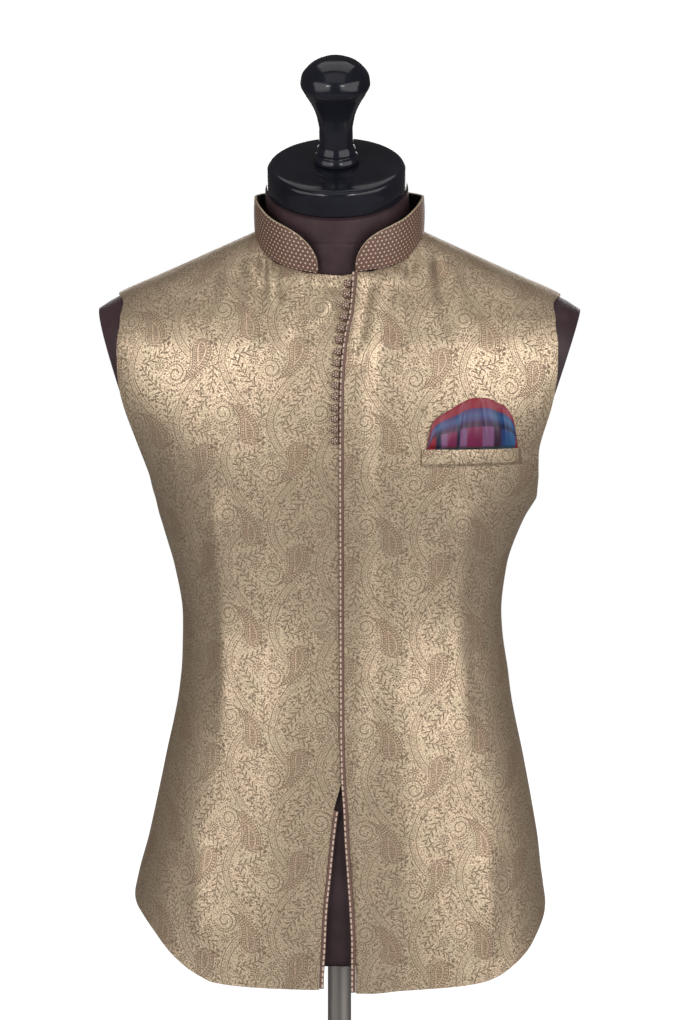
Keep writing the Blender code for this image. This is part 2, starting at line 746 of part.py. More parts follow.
def make_square(silk, group):
    """The pocket square: a domed fan with a flat back, standing just above the welt."""
    columns, rows = 11, 6
    across = np.linspace(0.03, 0.97, columns)[None, :]
    up = np.linspace(0, 1, rows)[:, None]
    x = WELT_LEFT + (WELT_RIGHT - WELT_LEFT) * across + 0 * up
    foot = WELT_TOP_INNER + (WELT_TOP_OUTER - WELT_TOP_INNER) * across + 1.2 * SEAM
    height = foot + SQUARE_HEIGHT * square_outline(across) * up
    behind = CLOTH + SEAM * 3
    dome = np.sin(np.pi * across) ** 0.7 * (0.30 + 0.70 * np.sin(np.pi * up)) * (1 - up**3)
    out = behind + 0.0008 + SQUARE_BULGE * dome
    face = on_front(x, height, out)
    back = on_front(x, height, np.full(x.shape, behind))
    ring = np.concatenate([face, back[::-1]], axis=0).transpose(1, 0, 2)
    mesh = grid_mesh("pocket_square", ring, flip=True, wrap=True, capped=True)
    add_object("pocket_square", mesh, silk, group)


def form_rings():
    """The form's rings from the hips to the top of the neck."""
    turn = np.linspace(0, 360, FORM_SIDES, endpoint=False)
    rings = []
    for height in FORM_RINGS:
        inset = float(smooth_table(INSET, "inset", height))
        at_side = float(smooth_table(INSET, "side", height))
        if height == FORM_RINGS[0]:
            inset += 0.006
            at_side += 0.006
        ring = surface(turn, np.full(turn.shape, height))
        ring[:, 0] *= 1 - at_side / float(smooth_table(BODY, "half_width", height))
        for behind, column in ((False, "front"), (True, "back")):
            half = (ring[:, 1] > 0) == behind
            ring[half, 1] *= 1 - inset / float(smooth_table(BODY, column, height))
        rings.append(ring)
    angle = np.radians(turn)
    for row in NECK:
        forward = signed_power(np.cos(angle), row.roof)
        y = -forward * np.where(forward > 0, row.front, row.back)
        x = np.sin(angle) * row.half_width + NECK_LEAN * ease(row.height, 0.900, NECK[-1].height)
        z = row.height + y * math.tan(math.radians(row.tilt_deg))
        rings.append(np.stack([x, row.centre + y, z], axis=-1))
    return np.array(rings)


def make_form(leather, group, cutters):
    """One smooth body with a flat plate at each arm, cut by a leaning box."""
    form = add_object("dress_form", grid_mesh("dress_form", form_rings(), wrap=True, capped=True), leather, group)
    form.data.set_sharp_from_angle(angle=math.radians(50))
    for side in (1, -1):
        bpy.ops.mesh.primitive_cube_add(size=1.0)
        box = bpy.context.object
        box.name = f"arm_cutter_{'left' if side > 0 else 'right'}"
        for owner in list(box.users_collection):
            owner.objects.unlink(box)
        cutters.objects.link(box)
        box.hide_render = True
        box.display_type = "WIRE"
        lean = math.atan(PLATE_SLOPE)
        size = Vector((0.20, 0.40, 0.50))
        place = Matrix.Translation((side * PLATE_X, 0, PLATE_HEIGHT)) @ Matrix.Rotation(side * lean, 4, "Y")
        box.matrix_world = place @ Matrix.Translation((side * size.x / 2, 0, -0.06)) @ Matrix.Diagonal((*size, 1))
        cut = form.modifiers.new("Plate", "BOOLEAN")
        cut.operation = "DIFFERENCE"
        cut.solver = "EXACT"
        cut.object = box


def make_cap(lacquer, group):
    """The turned neck cap and its knob, square to the top of the leaning neck."""
    top = NECK[-1]
    tilt = math.radians(top.tilt_deg)
    axis = Vector((0, -math.sin(tilt), math.cos(tilt)))
    place = Matrix.Translation(Vector((NECK_LEAN, top.centre, top.height)) + axis * SEAM) @ Matrix.Rotation(tilt, 4, "X")
    turned("neck_cap", CAP, 36, lacquer, group).matrix_world = place
    knob = turned("cap_knob", KNOB, 18, lacquer, group)
    knob.matrix_world = place @ Matrix.Translation((0, 0, CAP[0][0]))


def make_stand(steel, group):
    """A pole on a weighted round base."""
    edge = [
        (BASE_THICKNESS - 0.004 * (1 - math.cos(a)), BASE_RADIUS - 0.004 * (1 - math.sin(a)))
        for a in np.radians([0, 45, 90])
    ]
    profile = [(BOSS_HEIGHT, 0.0), (BOSS_HEIGHT, BOSS_RADIUS - 0.003), (BOSS_HEIGHT - 0.003, BOSS_RADIUS),
               (BASE_THICKNESS, BOSS_RADIUS), *edge, (0.0, BASE_RADIUS), (0.0, 0.0)]
    turned("stand_base", profile, 32, steel, group)
    low, high = BOSS_HEIGHT + SEAM, FORM_BOTTOM - SEAM
    bpy.ops.mesh.primitive_cylinder_add(vertices=20, radius=POLE_RADIUS, depth=high - low)
    pole = bpy.context.object
    pole.name = "stand_pole"
    pole.location = (0, 0, (low + high) / 2)
    for owner in list(pole.users_collection):
        owner.objects.unlink(pole)
    group.objects.link(pole)
    pole.data.materials.append(steel)


def main():
    clear_scene()
    group = collection("waistcoat_on_dress_form")
    cutters = collection("cutters")
    brocade = material("gold_brocade", (0.56, 0.45, 0.30), 0.45, 0.2)
    contrast = material("brown_dotted_brocade", (0.28, 0.18, 0.13), 0.5)
    silk = material("checked_silk", (0.45, 0.10, 0.25), 0.4)
    leather = material("brown_leather", (0.055, 0.035, 0.038), 0.5)
    lacquer = material("black_lacquer", (0.012, 0.012, 0.015), 0.2)
    steel = material("brushed_steel", (0.42, 0.39, 0.36), 0.35, 1.0)
    make_form(leather, group, cutters)
    make_cap(lacquer, group)
    make_stand(steel, group)
    make_fronts(brocade, group)
    make_back(brocade, group)
    make_collar(contrast, group)
    make_piping(contrast, group)
    make_buttons(contrast, group)
    make_welt(brocade, group)
    make_square(silk, group)


main()
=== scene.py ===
"""Looks of the brocade waistcoat on its dress form: cloth, woven motifs, finishes, camera and light."""

import math
from collections import namedtuple

import bmesh
import bpy
import numpy as np
from mathutils import Matrix, Vector


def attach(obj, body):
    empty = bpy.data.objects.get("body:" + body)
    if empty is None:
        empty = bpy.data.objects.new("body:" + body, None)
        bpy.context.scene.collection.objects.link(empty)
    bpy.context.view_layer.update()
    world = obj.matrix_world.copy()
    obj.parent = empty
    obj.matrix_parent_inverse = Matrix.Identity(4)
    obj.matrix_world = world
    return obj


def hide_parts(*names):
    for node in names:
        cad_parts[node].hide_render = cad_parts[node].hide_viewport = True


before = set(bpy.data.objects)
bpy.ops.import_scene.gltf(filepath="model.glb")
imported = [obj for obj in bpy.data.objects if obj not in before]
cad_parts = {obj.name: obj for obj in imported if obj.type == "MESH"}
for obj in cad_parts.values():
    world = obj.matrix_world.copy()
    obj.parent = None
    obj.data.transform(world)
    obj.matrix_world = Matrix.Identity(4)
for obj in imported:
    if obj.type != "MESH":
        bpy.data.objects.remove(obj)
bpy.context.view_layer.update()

MM = 0.001

# Sizes shared with the part's source
CLOTH = 1.6 * MM
COLLAR_CLOTH = 2.4 * MM
SEAM = 0.3 * MM
LAP_ROOM = 0.7 * MM
HEM = 0.1960
VENT_TOP = 0.3250
UNDERARM = 0.6544
SHOULDER_TIP = 0.8512
NECK_SIDE = 0.9115
NECK_FRONT_TOP = 0.8790
ARMHOLE_ROWS_FROM = 0.6550
VENT_OPENING_DEG = 1.6
NECK_HALF_WIDTH = 0.0798
NECK_FRONT = 0.0795
NECK_BACK = 0.0760
NECK_SQUARENESS = 0.86
ARMHOLE_FRONT = 0.0690
ARMHOLE_BACK = 0.0715
ARMHOLE_ROUND_BELOW = 1.95
ARMHOLE_ROUND_ABOVE = 3.2
NECK_LEAN = -0.0022
COLLAR_CORNER = 0.0440
COLLAR_END_HEIGHT = 0.0050
COLLAR_LEAN_DEG = 9.0
COLLAR_END_GAP = 0.0012
COLLAR_ROOM = 0.9 * MM
PIPING_RADIUS = 1.5 * MM
EDGE_TO_PIPING = PIPING_RADIUS + 3 * SEAM
LAP_FADE = 0.0260
RIGHT_PIPING_TOP = 0.3700
BUTTON_COUNT = 15
BUTTON_TOP = 0.8705
BUTTON_BOTTOM = 0.7280
BUTTON_RADIUS = 3.8 * MM
BUTTON_RISE = 5.4 * MM
SHANK_RADIUS = 1.2 * MM
BUTTON_FROM_PIPING = 6.2 * MM
LOOP_RADIUS = 0.85 * MM
FASTENING_GAP = 0.52 * MM
WELT_LEFT = 0.0810
WELT_RIGHT = 0.1720
WELT_TOP_INNER = 0.7190
WELT_TOP_OUTER = 0.7165
WELT_HEIGHT = 0.0160
SQUARE_HEIGHT = 0.0470
FORM_BOTTOM = 0.2150
PLATE_X = 0.2309
PLATE_HEIGHT = 0.8349
PLATE_SLOPE = 0.3300
POLE_RADIUS = 0.0115
BASE_RADIUS = 0.1500
BASE_THICKNESS = 0.0100
BOSS_RADIUS = 0.0240
BOSS_HEIGHT = 0.0340

BodyRow = namedtuple("BodyRow", "height half_width front back squareness")
BODY = (
    BodyRow(0.1800, 0.2128, 0.1290, 0.1370, 0.90),
    BodyRow(0.2540, 0.2010, 0.1270, 0.1350, 0.90),
    BodyRow(0.3260, 0.1874, 0.1235, 0.1310, 0.90),
    BodyRow(0.3980, 0.1732, 0.1200, 0.1220, 0.90),
    BodyRow(0.4700, 0.1591, 0.1165, 0.1110, 0.90),
    BodyRow(0.5410, 0.1533, 0.1135, 0.1050, 0.90),
    BodyRow(0.5880, 0.1594, 0.1155, 0.1070, 0.89),
    BodyRow(0.6240, 0.1702, 0.1180, 0.1110, 0.88),
    BodyRow(0.6544, 0.1823, 0.1210, 0.1150, 0.88),
    BodyRow(0.7063, 0.2080, 0.1240, 0.1205, 0.88),
    BodyRow(0.7532, 0.2345, 0.1215, 0.1235, 0.88),
    BodyRow(0.7850, 0.2440, 0.1165, 0.1230, 0.88),
    BodyRow(0.8110, 0.2465, 0.1105, 0.1200, 0.90),
    BodyRow(0.8335, 0.2390, 0.1010, 0.1140, 0.93),
    BodyRow(0.8512, 0.2122, 0.0925, 0.1070, 0.96),
    BodyRow(0.8670, 0.1775, 0.0845, 0.0995, 1.00),
    BodyRow(0.8790, 0.1505, 0.0795, 0.0945, 1.00),
    BodyRow(0.8865, 0.1340, 0.0700, 0.0908, 1.00),
    BodyRow(0.8940, 0.1175, 0.0600, 0.0872, 1.00),
    BodyRow(0.9045, 0.0940, 0.0500, 0.0820, 1.00),
    BodyRow(0.9115, 0.0798, 0.0450, 0.0792, 1.00),
    BodyRow(0.9220, 0.0680, 0.0430, 0.0760, 1.00),
    BodyRow(0.9300, 0.0650, 0.0420, 0.0740, 1.00),
)

InsetRow = namedtuple("InsetRow", "height inset side")
INSET = (
    InsetRow(0.2150, 0.0100, 0.0550),
    InsetRow(0.2350, 0.0090, 0.0400),
    InsetRow(0.2550, 0.0082, 0.0270),
    InsetRow(0.3000, 0.0066, 0.0120),
    InsetRow(0.3500, 0.0050, 0.0060),
    InsetRow(0.4500, 0.0032, 0.0032),
    InsetRow(0.6000, 0.0032, 0.0032),
    InsetRow(0.6544, 0.0050, 0.0050),
    InsetRow(0.7000, 0.0026, 0.0026),
    InsetRow(0.7900, 0.0028, 0.0028),
    InsetRow(0.8150, 0.0034, 0.0034),
    InsetRow(0.8400, 0.0032, 0.0032),
    InsetRow(0.8533, 0.0025, 0.0025),
    InsetRow(0.8750, 0.0027, 0.0027),
)

NeckRow = namedtuple("NeckRow", "height half_width front back roof centre tilt_deg")
NECK = (
    NeckRow(0.8790, 0.1474, 0.0708, 0.0920, 1.02, 0.0, 0.0),
    NeckRow(0.8865, 0.1300, 0.0718, 0.0872, 1.85, 0.0, 0.0),
    NeckRow(0.8940, 0.1128, 0.0731, 0.0820, 2.05, 0.0, 0.0),
    NeckRow(0.9030, 0.0932, 0.0748, 0.0757, 1.90, 0.0, 0.5),
    NeckRow(0.9110, 0.0778, 0.0757, 0.0710, 1.50, 0.0, 3.0),
    NeckRow(0.9200, 0.0716, 0.0743, 0.0690, 1.20, -0.0020, 7.5),
    NeckRow(0.9310, 0.0690, 0.0716, 0.0680, 1.05, -0.0055, 12.5),
    NeckRow(0.9545, 0.0685, 0.0685, 0.0685, 1.00, -0.0120, 19.0),
)

EdgeRow = namedtuple("EdgeRow", "height left right")
EDGES = (
    EdgeRow(0.1800, 0.0175, -0.0128),
    EdgeRow(0.2000, 0.0175, -0.0128),
    EdgeRow(0.2355, 0.0175, -0.0109),
    EdgeRow(0.2720, 0.0160, -0.0092),
    EdgeRow(0.3080, 0.0135, -0.0056),
    EdgeRow(0.3450, 0.0110, -0.0020),
    EdgeRow(0.3720, 0.0098, 0.0016),
    EdgeRow(0.4000, 0.0078, 0.0090),
    EdgeRow(0.4600, 0.0065, 0.0170),
    EdgeRow(0.5600, 0.0060, 0.0200),
    EdgeRow(0.7600, 0.0060, 0.0200),
    EdgeRow(0.7870, 0.0065, 0.0200),
    EdgeRow(0.8080, 0.0080, 0.0200),
    EdgeRow(0.8280, 0.0107, 0.0205),
    EdgeRow(0.8450, 0.0145, 0.0215),
    EdgeRow(0.8640, 0.0160, 0.0225),
    EdgeRow(0.8950, 0.0172, 0.0230),
)

HemRow = namedtuple("HemRow", "turn left right back")
HEM_CURVE = (
    HemRow(0.0, -0.0022, 0.0000, 0.0000),
    HemRow(8.0, -0.0035, 0.0000, 0.0000),
    HemRow(15.0, -0.0014, 0.0000, 0.0000),
    HemRow(24.0, -0.0006, 0.0004, 0.0010),
    HemRow(32.0, -0.0002, 0.0022, 0.0030),
    HemRow(36.0, 0.0004, 0.0064, 0.0066),
    HemRow(40.0, 0.0014, 0.0114, 0.0116),
    HemRow(46.3, 0.0055, 0.0210, 0.0214),
    HemRow(52.8, 0.0130, 0.0325, 0.0330),
    HemRow(58.5, 0.0205, 0.0425, 0.0435),
    HemRow(63.3, 0.0275, 0.0490, 0.0505),
    HemRow(69.2, 0.0375, 0.0555, 0.0580),
    HemRow(75.8, 0.0465, 0.0605, 0.0640),
    HemRow(82.4, 0.0545, 0.0655, 0.0700),
    HemRow(90.0, 0.0640, 0.0730, 0.0790),
)

# Height of the collar, from its front end at 0 to the centre back at 1
COLLAR_HEIGHTS = (
    (0.00, 0.0385),
    (0.24, 0.0385),
    (0.36, 0.0362),
    (0.50, 0.0332),
    (0.64, 0.0340),
    (0.82, 0.0362),
    (0.94, 0.0370),
    (1.00, 0.0370),
)

# How far the body's sides lie to the wearer's left of its own centre, at these heights
SWAY = (
    (0.2600, 0.0000),
    (0.2840, 0.0008),
    (0.3240, 0.0038),
    (0.4000, 0.0050),
    (0.4800, 0.0052),
    (0.5200, 0.0032),
    (0.5600, 0.0020),
    (0.6000, 0.0010),
    (0.6380, 0.0028),
    (0.6620, 0.0066),
    (0.6800, 0.0066),
    (0.6970, 0.0044),
    (0.7160, 0.0014),
    (0.7600, 0.0000),
)

CAP = (
    (0.0285, 0.0000),
    (0.0283, 0.0300),
    (0.0278, 0.0500),
    (0.0268, 0.0600),
    (0.0250, 0.0640),
    (0.0222, 0.0662),
    (0.0135, 0.0668),
    (0.0010, 0.0668),
    (0.0000, 0.0660),
)

KNOB = (
    (0.1076, 0.0000),
    (0.1067, 0.0090),
    (0.1033, 0.0185),
    (0.0972, 0.0270),
    (0.0892, 0.0325),
    (0.0817, 0.0336),
    (0.0739, 0.0306),
    (0.0654, 0.0258),
    (0.0564, 0.0214),
    (0.0463, 0.0182),
    (0.0335, 0.0163),
    (0.0190, 0.0163),
    (0.0150, 0.0180),
    (0.0120, 0.0190),
    (0.0100, 0.0182),
    (0.0080, 0.0200),
    (0.0045, 0.0218),
    (0.0015, 0.0210),
    (0.0004, 0.0195),
)

# Creases in the cloth. Across is the distance round the body to the wearer's left, from the front centre, or
# from the centre back for the back. Depth is the way out from the body, and below zero it is a trough.
Fold = namedtuple("Fold", "across_top height_top across_foot height_foot width depth")
FRONT_FOLDS = (
    Fold(0.0020, 0.882, 0.0000, 0.858, 0.0046, -0.0030),
    Fold(-0.0030, 0.864, -0.0230, 0.832, 0.0050, 0.0022),
    Fold(-0.0120, 0.856, -0.0160, 0.842, 0.0034, -0.0014),
    Fold(-0.0290, 0.884, -0.0260, 0.846, 0.0040, -0.0016),
    Fold(-0.0420, 0.880, -0.0380, 0.815, 0.0062, 0.0026),
    Fold(-0.0590, 0.890, -0.0540, 0.830, 0.0044, -0.0030),
    Fold(-0.0650, 0.890, -0.0620, 0.852, 0.0036, 0.0014),
    Fold(-0.0705, 0.892, -0.0700, 0.845, 0.0044, -0.0030),
    Fold(-0.0830, 0.890, -0.0800, 0.826, 0.0070, 0.0018),
    Fold(-0.1040, 0.878, -0.1120, 0.832, 0.0075, 0.0012),
    Fold(0.0330, 0.886, 0.0205, 0.800, 0.0046, -0.0034),
    Fold(0.0420, 0.880, 0.0310, 0.800, 0.0052, 0.0026),
    Fold(0.0540, 0.880, 0.0470, 0.816, 0.0048, -0.0013),
    Fold(0.0620, 0.884, 0.0600, 0.834, 0.0044, 0.0014),
    Fold(0.0700, 0.888, 0.0680, 0.840, 0.0044, -0.0026),
    Fold(0.0850, 0.888, 0.0900, 0.838, 0.0066, 0.0018),
    Fold(0.0980, 0.890, 0.1030, 0.828, 0.0050, -0.0028),
    Fold(0.1120, 0.880, 0.1220, 0.826, 0.0076, 0.0014),
    Fold(-0.118, 0.665, -0.112, 0.560, 0.0130, 0.0030),
    Fold(-0.112, 0.560, -0.116, 0.430, 0.0130, 0.0022),
    Fold(0.124, 0.660, 0.120, 0.545, 0.0140, 0.0030),
    Fold(0.120, 0.545, 0.130, 0.420, 0.0130, 0.0024),
    Fold(0.150, 0.330, 0.152, 0.235, 0.0150, 0.0030),
    Fold(-0.136, 0.330, -0.128, 0.225, 0.0160, 0.0028),
    Fold(0.070, 0.470, 0.074, 0.250, 0.0240, 0.0020),
    Fold(-0.064, 0.500, -0.070, 0.240, 0.0260, 0.0020),
)
BACK_FOLDS = (
    Fold(-0.050, 0.885, -0.044, 0.800, 0.0080, 0.0018),
    Fold(0.042, 0.890, 0.050, 0.790, 0.0075, 0.0020),
    Fold(-0.020, 0.880, -0.016, 0.830, 0.0060, 0.0012),
    Fold(0.090, 0.700, 0.070, 0.560, 0.0150, 0.0026),
    Fold(-0.094, 0.690, -0.080, 0.545, 0.0150, 0.0028),
    Fold(0.060, 0.460, 0.078, 0.250, 0.0220, 0.0034),
    Fold(-0.050, 0.450, -0.066, 0.240, 0.0240, 0.0034),
    Fold(0.004, 0.430, -0.004, 0.260, 0.0220, 0.0022),
)


def smooth_curve(x, y, values):
    """A curve through the points x, y that never overshoots them, read at any values."""
    x, y = np.array(x), np.array(y)
    step = np.diff(x)
    slope = np.diff(y) / step
    tangent = np.zeros_like(y)
    tangent[0], tangent[-1] = slope[0], slope[-1]
    same_way = slope[:-1] * slope[1:] > 0
    before = 2 * step[1:] + step[:-1]
    after = step[1:] + 2 * step[:-1]
    safe = np.where(same_way, slope[:-1] * slope[1:], 1.0)
    mean = (before + after) * safe / (before * slope[1:] + after * slope[:-1] + (~same_way))
    tangent[1:-1] = np.where(same_way, mean, 0.0)
    at = np.clip(np.asarray(values, float), x[0], x[-1])
    k = np.clip(np.searchsorted(x, at) - 1, 0, len(step) - 1)
    u = (at - x[k]) / step[k]
    rise = y[k] * (1 + 2 * u) * (1 - u) ** 2 + y[k + 1] * u**2 * (3 - 2 * u)
    return rise + step[k] * (tangent[k] * u * (1 - u) ** 2 - tangent[k + 1] * u**2 * (1 - u))


def smooth_table(rows, column, heights):
    """A column of a table of heights, read at any height."""
    return smooth_curve([row.height for row in rows], [getattr(row, column) for row in rows], heights)


def ease(value, low, high):
    """0 at low, 1 at high, and smooth between them."""
    u = np.clip((np.asarray(value, float) - low) / (high - low), 0, 1)
    return u * u * (3 - 2 * u)


def signed_power(value, power):
    return np.sign(value) * np.abs(value) ** power


def surface(turn, height):
    """Points of the body surface."""
    turn = np.radians(np.asarray(turn, float))
    power = smooth_table(BODY, "squareness", height)
    sway = smooth_curve(*zip(*SWAY), height) * np.sin(turn) ** 2
    side = signed_power(np.sin(turn), power) * smooth_table(BODY, "half_width", height) + sway
    forward = signed_power(np.cos(turn), power)
    depth = np.where(forward > 0, smooth_table(BODY, "front", height), smooth_table(BODY, "back", height))
    return np.stack([side, -forward * depth, np.broadcast_to(height, side.shape)], axis=-1)


def surface_normal(turn, height):
    small_turn, small_height = 0.4, 0.0004
    across = surface(turn + small_turn, height) - surface(turn - small_turn, height)
    up = surface(turn, height + small_height) - surface(turn, height - small_height)
    normal = np.cross(across, up)
    return normal / np.linalg.norm(normal, axis=-1, keepdims=True)


def turn_at(x, height):
    """The turn, on the front, at which the body surface is this far to the side."""
    share = np.clip(np.abs(x) / smooth_table(BODY, "half_width", height), 0, 1)
    power = 1 / smooth_table(BODY, "squareness", height)
    return np.sign(x) * np.degrees(np.arcsin(share**power))


def left_edge(height):
    return smooth_table(EDGES, "left", height)


def right_edge(height):
    return smooth_table(EDGES, "right", height)


def left_cloth_edge(height):
    return left_edge(height) + EDGE_TO_PIPING


def right_cloth_edge(height):
    """The right front's edge as the mirrored panel sees it, below zero where it runs past the centre."""
    return EDGE_TO_PIPING - right_edge(height)


def lap_lift(x, height):
    """How far the left front is raised where it lies over the right one."""
    full = CLOTH + LAP_ROOM
    fades = 1 - ease(x, right_edge(height) + 0.002, right_edge(height) + LAP_FADE)
    return full * fades * ease(height, 0.345, 0.400)


def seam_turn(height):
    """Half the gap at the side seam and shoulder seam, in degrees, with the vent's opening below."""
    return 0.18 + VENT_OPENING_DEG * (1 - ease(height, HEM, VENT_TOP))


def hem_height(turn_from_centre, panel):
    """Height of the hem of the left front, the right front or the back."""
    turns = [row.turn for row in HEM_CURVE]
    return HEM + smooth_curve(turns, [getattr(row, panel) for row in HEM_CURVE], turn_from_centre)


class Drape:
    """The cloth laid flat: distance round the body from one centre line, and length up the cloth."""

    def __init__(self, from_back):
        self.from_back = from_back
        self.heights = np.arange(0.170, 0.9301, 0.0020)
        self.turns = np.arange(0.0, 180.1, 1.0)
        turn, height = np.meshgrid(self.turns, self.heights)
        around = surface(180 - turn if from_back else turn, height)
        steps = np.linalg.norm(np.diff(around, axis=1), axis=2)
        self.arc = np.concatenate([np.zeros((len(self.heights), 1)), np.cumsum(steps, axis=1)], axis=1)
        self.across = np.arange(0.0, 0.400, 0.0020)
        self.turn = np.array([np.interp(self.across, row, self.turns) for row in self.arc])
        _, height = np.meshgrid(self.across, self.heights)
        up = surface(180 - self.turn if from_back else self.turn, height)
        rises = np.linalg.norm(np.diff(up, axis=0), axis=2)
        self.length = np.concatenate([np.zeros((1, len(self.across))), np.cumsum(rises, axis=0)])

    @staticmethod
    def read(table, rows, columns, row, column):
        """A table read between its rows and columns."""
        r = np.clip((row - rows[0]) / (rows[1] - rows[0]), 0, len(rows) - 1.001)
        c = np.clip((column - columns[0]) / (columns[1] - columns[0]), 0, len(columns) - 1.001)
        i, j = r.astype(int), c.astype(int)
        fr, fc = r - i, c - j
        low = table[i, j] * (1 - fc) + table[i, j + 1] * fc
        high = table[i + 1, j] * (1 - fc) + table[i + 1, j + 1] * fc
        return low * (1 - fr) + high * fr

    def to_cloth(self, turn, height):
        """The flat place of a turn and height."""
        turn = (180 - turn) if self.from_back else turn
        turn, height = np.broadcast_arrays(np.asarray(turn, float), np.asarray(height, float))
        across = self.read(self.arc, self.heights, self.turns, height, np.abs(turn))
        length = self.read(self.length, self.heights, self.across, height, across)
        return np.sign(turn) * across, length


FRONT = Drape(False)
BACK = Drape(True)


def crease(folds, across, height):
    """How far the creases push the cloth out here."""
    push = np.zeros(np.broadcast(across, height).shape)
    for fold in folds:
        top = np.array([fold.across_top, fold.height_top])
        foot = np.array([fold.across_foot, fold.height_foot])
        line = foot - top
        reach = np.linalg.norm(line)
        dx, dz = across - top[0], height - top[1]
        along = (dx * line[0] + dz * line[1]) / reach**2
        aside = np.abs(dx * line[1] - dz * line[0]) / reach
        ends = ease(along, -0.18, 0.22) * (1 - ease(along, 0.62, 1.22))
        push = push + fold.depth * ends * np.exp(-((aside / fold.width) ** 2))
    return push


def front_push(turn, height):
    across, _ = FRONT.to_cloth(turn, height)
    return crease(FRONT_FOLDS, across, height)


def back_push(turn, height):
    across, _ = BACK.to_cloth(turn, height)
    return crease(BACK_FOLDS, across, height)


def cloth_point(turn, height, out, push=front_push):
    """Points of the creased cloth, at a distance out from the body surface."""
    turn, height = np.broadcast_arrays(np.asarray(turn, float), np.asarray(height, float))
    lift = np.asarray(out) + push(turn, height)
    return surface(turn, height) + surface_normal(turn, height) * lift[..., None]


def on_front(x, height, out):
    x, height = np.broadcast_arrays(np.asarray(x, float), np.asarray(height, float))
    return cloth_point(turn_at(x, height), height, out)


def neckline(angle):
    """Turn and height of the neckline, angle degrees round it from the front centre."""
    angle = np.radians(np.asarray(angle, float))
    x = NECK_HALF_WIDTH * signed_power(np.sin(angle), NECK_SQUARENESS)
    forward = signed_power(np.cos(angle), NECK_SQUARENESS)
    y = np.where(forward > 0, NECK_FRONT, NECK_BACK) * np.abs(forward)
    low, high = np.full(x.shape, 0.870), np.full(x.shape, 0.930)
    for _ in range(40):
        middle = (low + high) / 2
        depth = np.where(forward > 0, smooth_table(BODY, "front", middle), smooth_table(BODY, "back", middle))
        width = smooth_table(BODY, "half_width", middle)
        power = 2 / smooth_table(BODY, "squareness", middle)
        outside = np.abs(x / width) ** power + (y / depth) ** power > 1
        high = np.where(outside, middle, high)
        low = np.where(outside, low, middle)
    height = (low + high) / 2
    share = np.clip(np.abs(x) / smooth_table(BODY, "half_width", height), 0, 1)
    turn = np.degrees(np.arcsin(share ** (1 / smooth_table(BODY, "squareness", height))))
    turn = np.where(forward > 0, turn, 180 - turn) * np.sign(x + 1e-12)
    return turn, height


def neck_angle(x):
    """The angle round the neckline, in front, that is this far to the side."""
    share = np.abs(np.asarray(x, float) / NECK_HALF_WIDTH)
    return float(np.sign(x) * np.degrees(np.arcsin(share ** (1 / NECK_SQUARENESS))))


def armhole(share, depth, body_column):
    """Distance of the armhole's edge from the side line, in degrees of turn, and its height. Share runs
    from 0 at the underarm to 1 at the shoulder tip."""
    middle = (SHOULDER_TIP + UNDERARM) / 2
    reach = (SHOULDER_TIP - UNDERARM) / 2
    angle = np.pi * np.asarray(share, float)
    power = 2 / np.where(share < 0.5, ARMHOLE_ROUND_BELOW, ARMHOLE_ROUND_ABOVE)
    height = middle - reach * signed_power(np.cos(angle), power)
    away = depth * np.abs(np.sin(angle)) ** power
    ratio = np.clip(away / smooth_table(BODY, body_column, height), 0, 1)
    return 90 - np.degrees(np.arccos(ratio ** (1 / smooth_table(BODY, "squareness", height)))), height


def patch(bottom, top, start, end, columns):
    """A grid of (turn, height) places between four edges, each an array of such pairs, with its columns at
    these shares of the way across."""
    w = columns[None, :, None]
    r = np.linspace(0, 1, len(start))[:, None, None]
    corners = (
        (1 - r) * ((1 - w) * bottom[0] + w * bottom[-1])
        + r * ((1 - w) * top[0] + w * top[-1])
    )
    across = (1 - w) * start[:, None] + w * end[:, None]
    return across + (1 - r) * bottom[None] + r * top[None] - corners


def pairs(turn, height):
    return np.stack(np.broadcast_arrays(np.asarray(turn, float), np.asarray(height, float)), axis=-1)


# Grid of the cloth that shows
ROWS_BELOW = 88
ROWS_ARMHOLE = 44
ROWS_NECK = 32
COLUMNS = 150
BACK_COLUMNS = 75


def edge_foot(edge_x, panel):
    """Height of a front's hem at its front edge."""
    return float(hem_height(turn_at(edge_x(HEM), HEM), panel))


def front_grid(edge_x, columns, panel):
    """Places of a front panel, as if on the wearer's left. edge_x gives its front edge at a height."""
    neck_turn, neck_height = neckline(np.linspace(neck_angle(edge_x(NECK_FRONT_TOP)), 90, ROWS_NECK + 1))
    neck_turn[-1] = 90 - seam_turn(NECK_SIDE)
    centre_height = centre_rows(neck_height[0], edge_foot(edge_x, panel))
    start = np.concatenate([
        pairs(turn_at(edge_x(centre_height), centre_height), centre_height),
        pairs(neck_turn, neck_height),
    ])
    side_height = np.linspace(hem_height(90.0, panel), UNDERARM, ROWS_BELOW + 1)[:-1]
    arm_turn, arm_height = armhole(armhole_shares(), ARMHOLE_FRONT, "front")
    end = np.concatenate([
        pairs(90 - seam_turn(side_height), side_height),
        pairs(np.minimum(90 - arm_turn, 90 - seam_turn(arm_height)), arm_height),
    ])
    hem_turn = start[0, 0] + (end[0, 0] - start[0, 0]) * columns
    top = pairs(90 - seam_turn(NECK_SIDE), neck_height[-1] + (SHOULDER_TIP - neck_height[-1]) * columns)
    return patch(pairs(hem_turn, hem_height(hem_turn, panel)), top, start, end, columns)


def centre_rows(neck_height, low=HEM):
    """Heights of the panels' rows at their front edge or centre back, below the neck."""
    return np.concatenate([
        np.linspace(low, ARMHOLE_ROWS_FROM, ROWS_BELOW + 1)[:-1],
        np.linspace(ARMHOLE_ROWS_FROM, neck_height, ROWS_ARMHOLE + 1)[:-1],
    ])


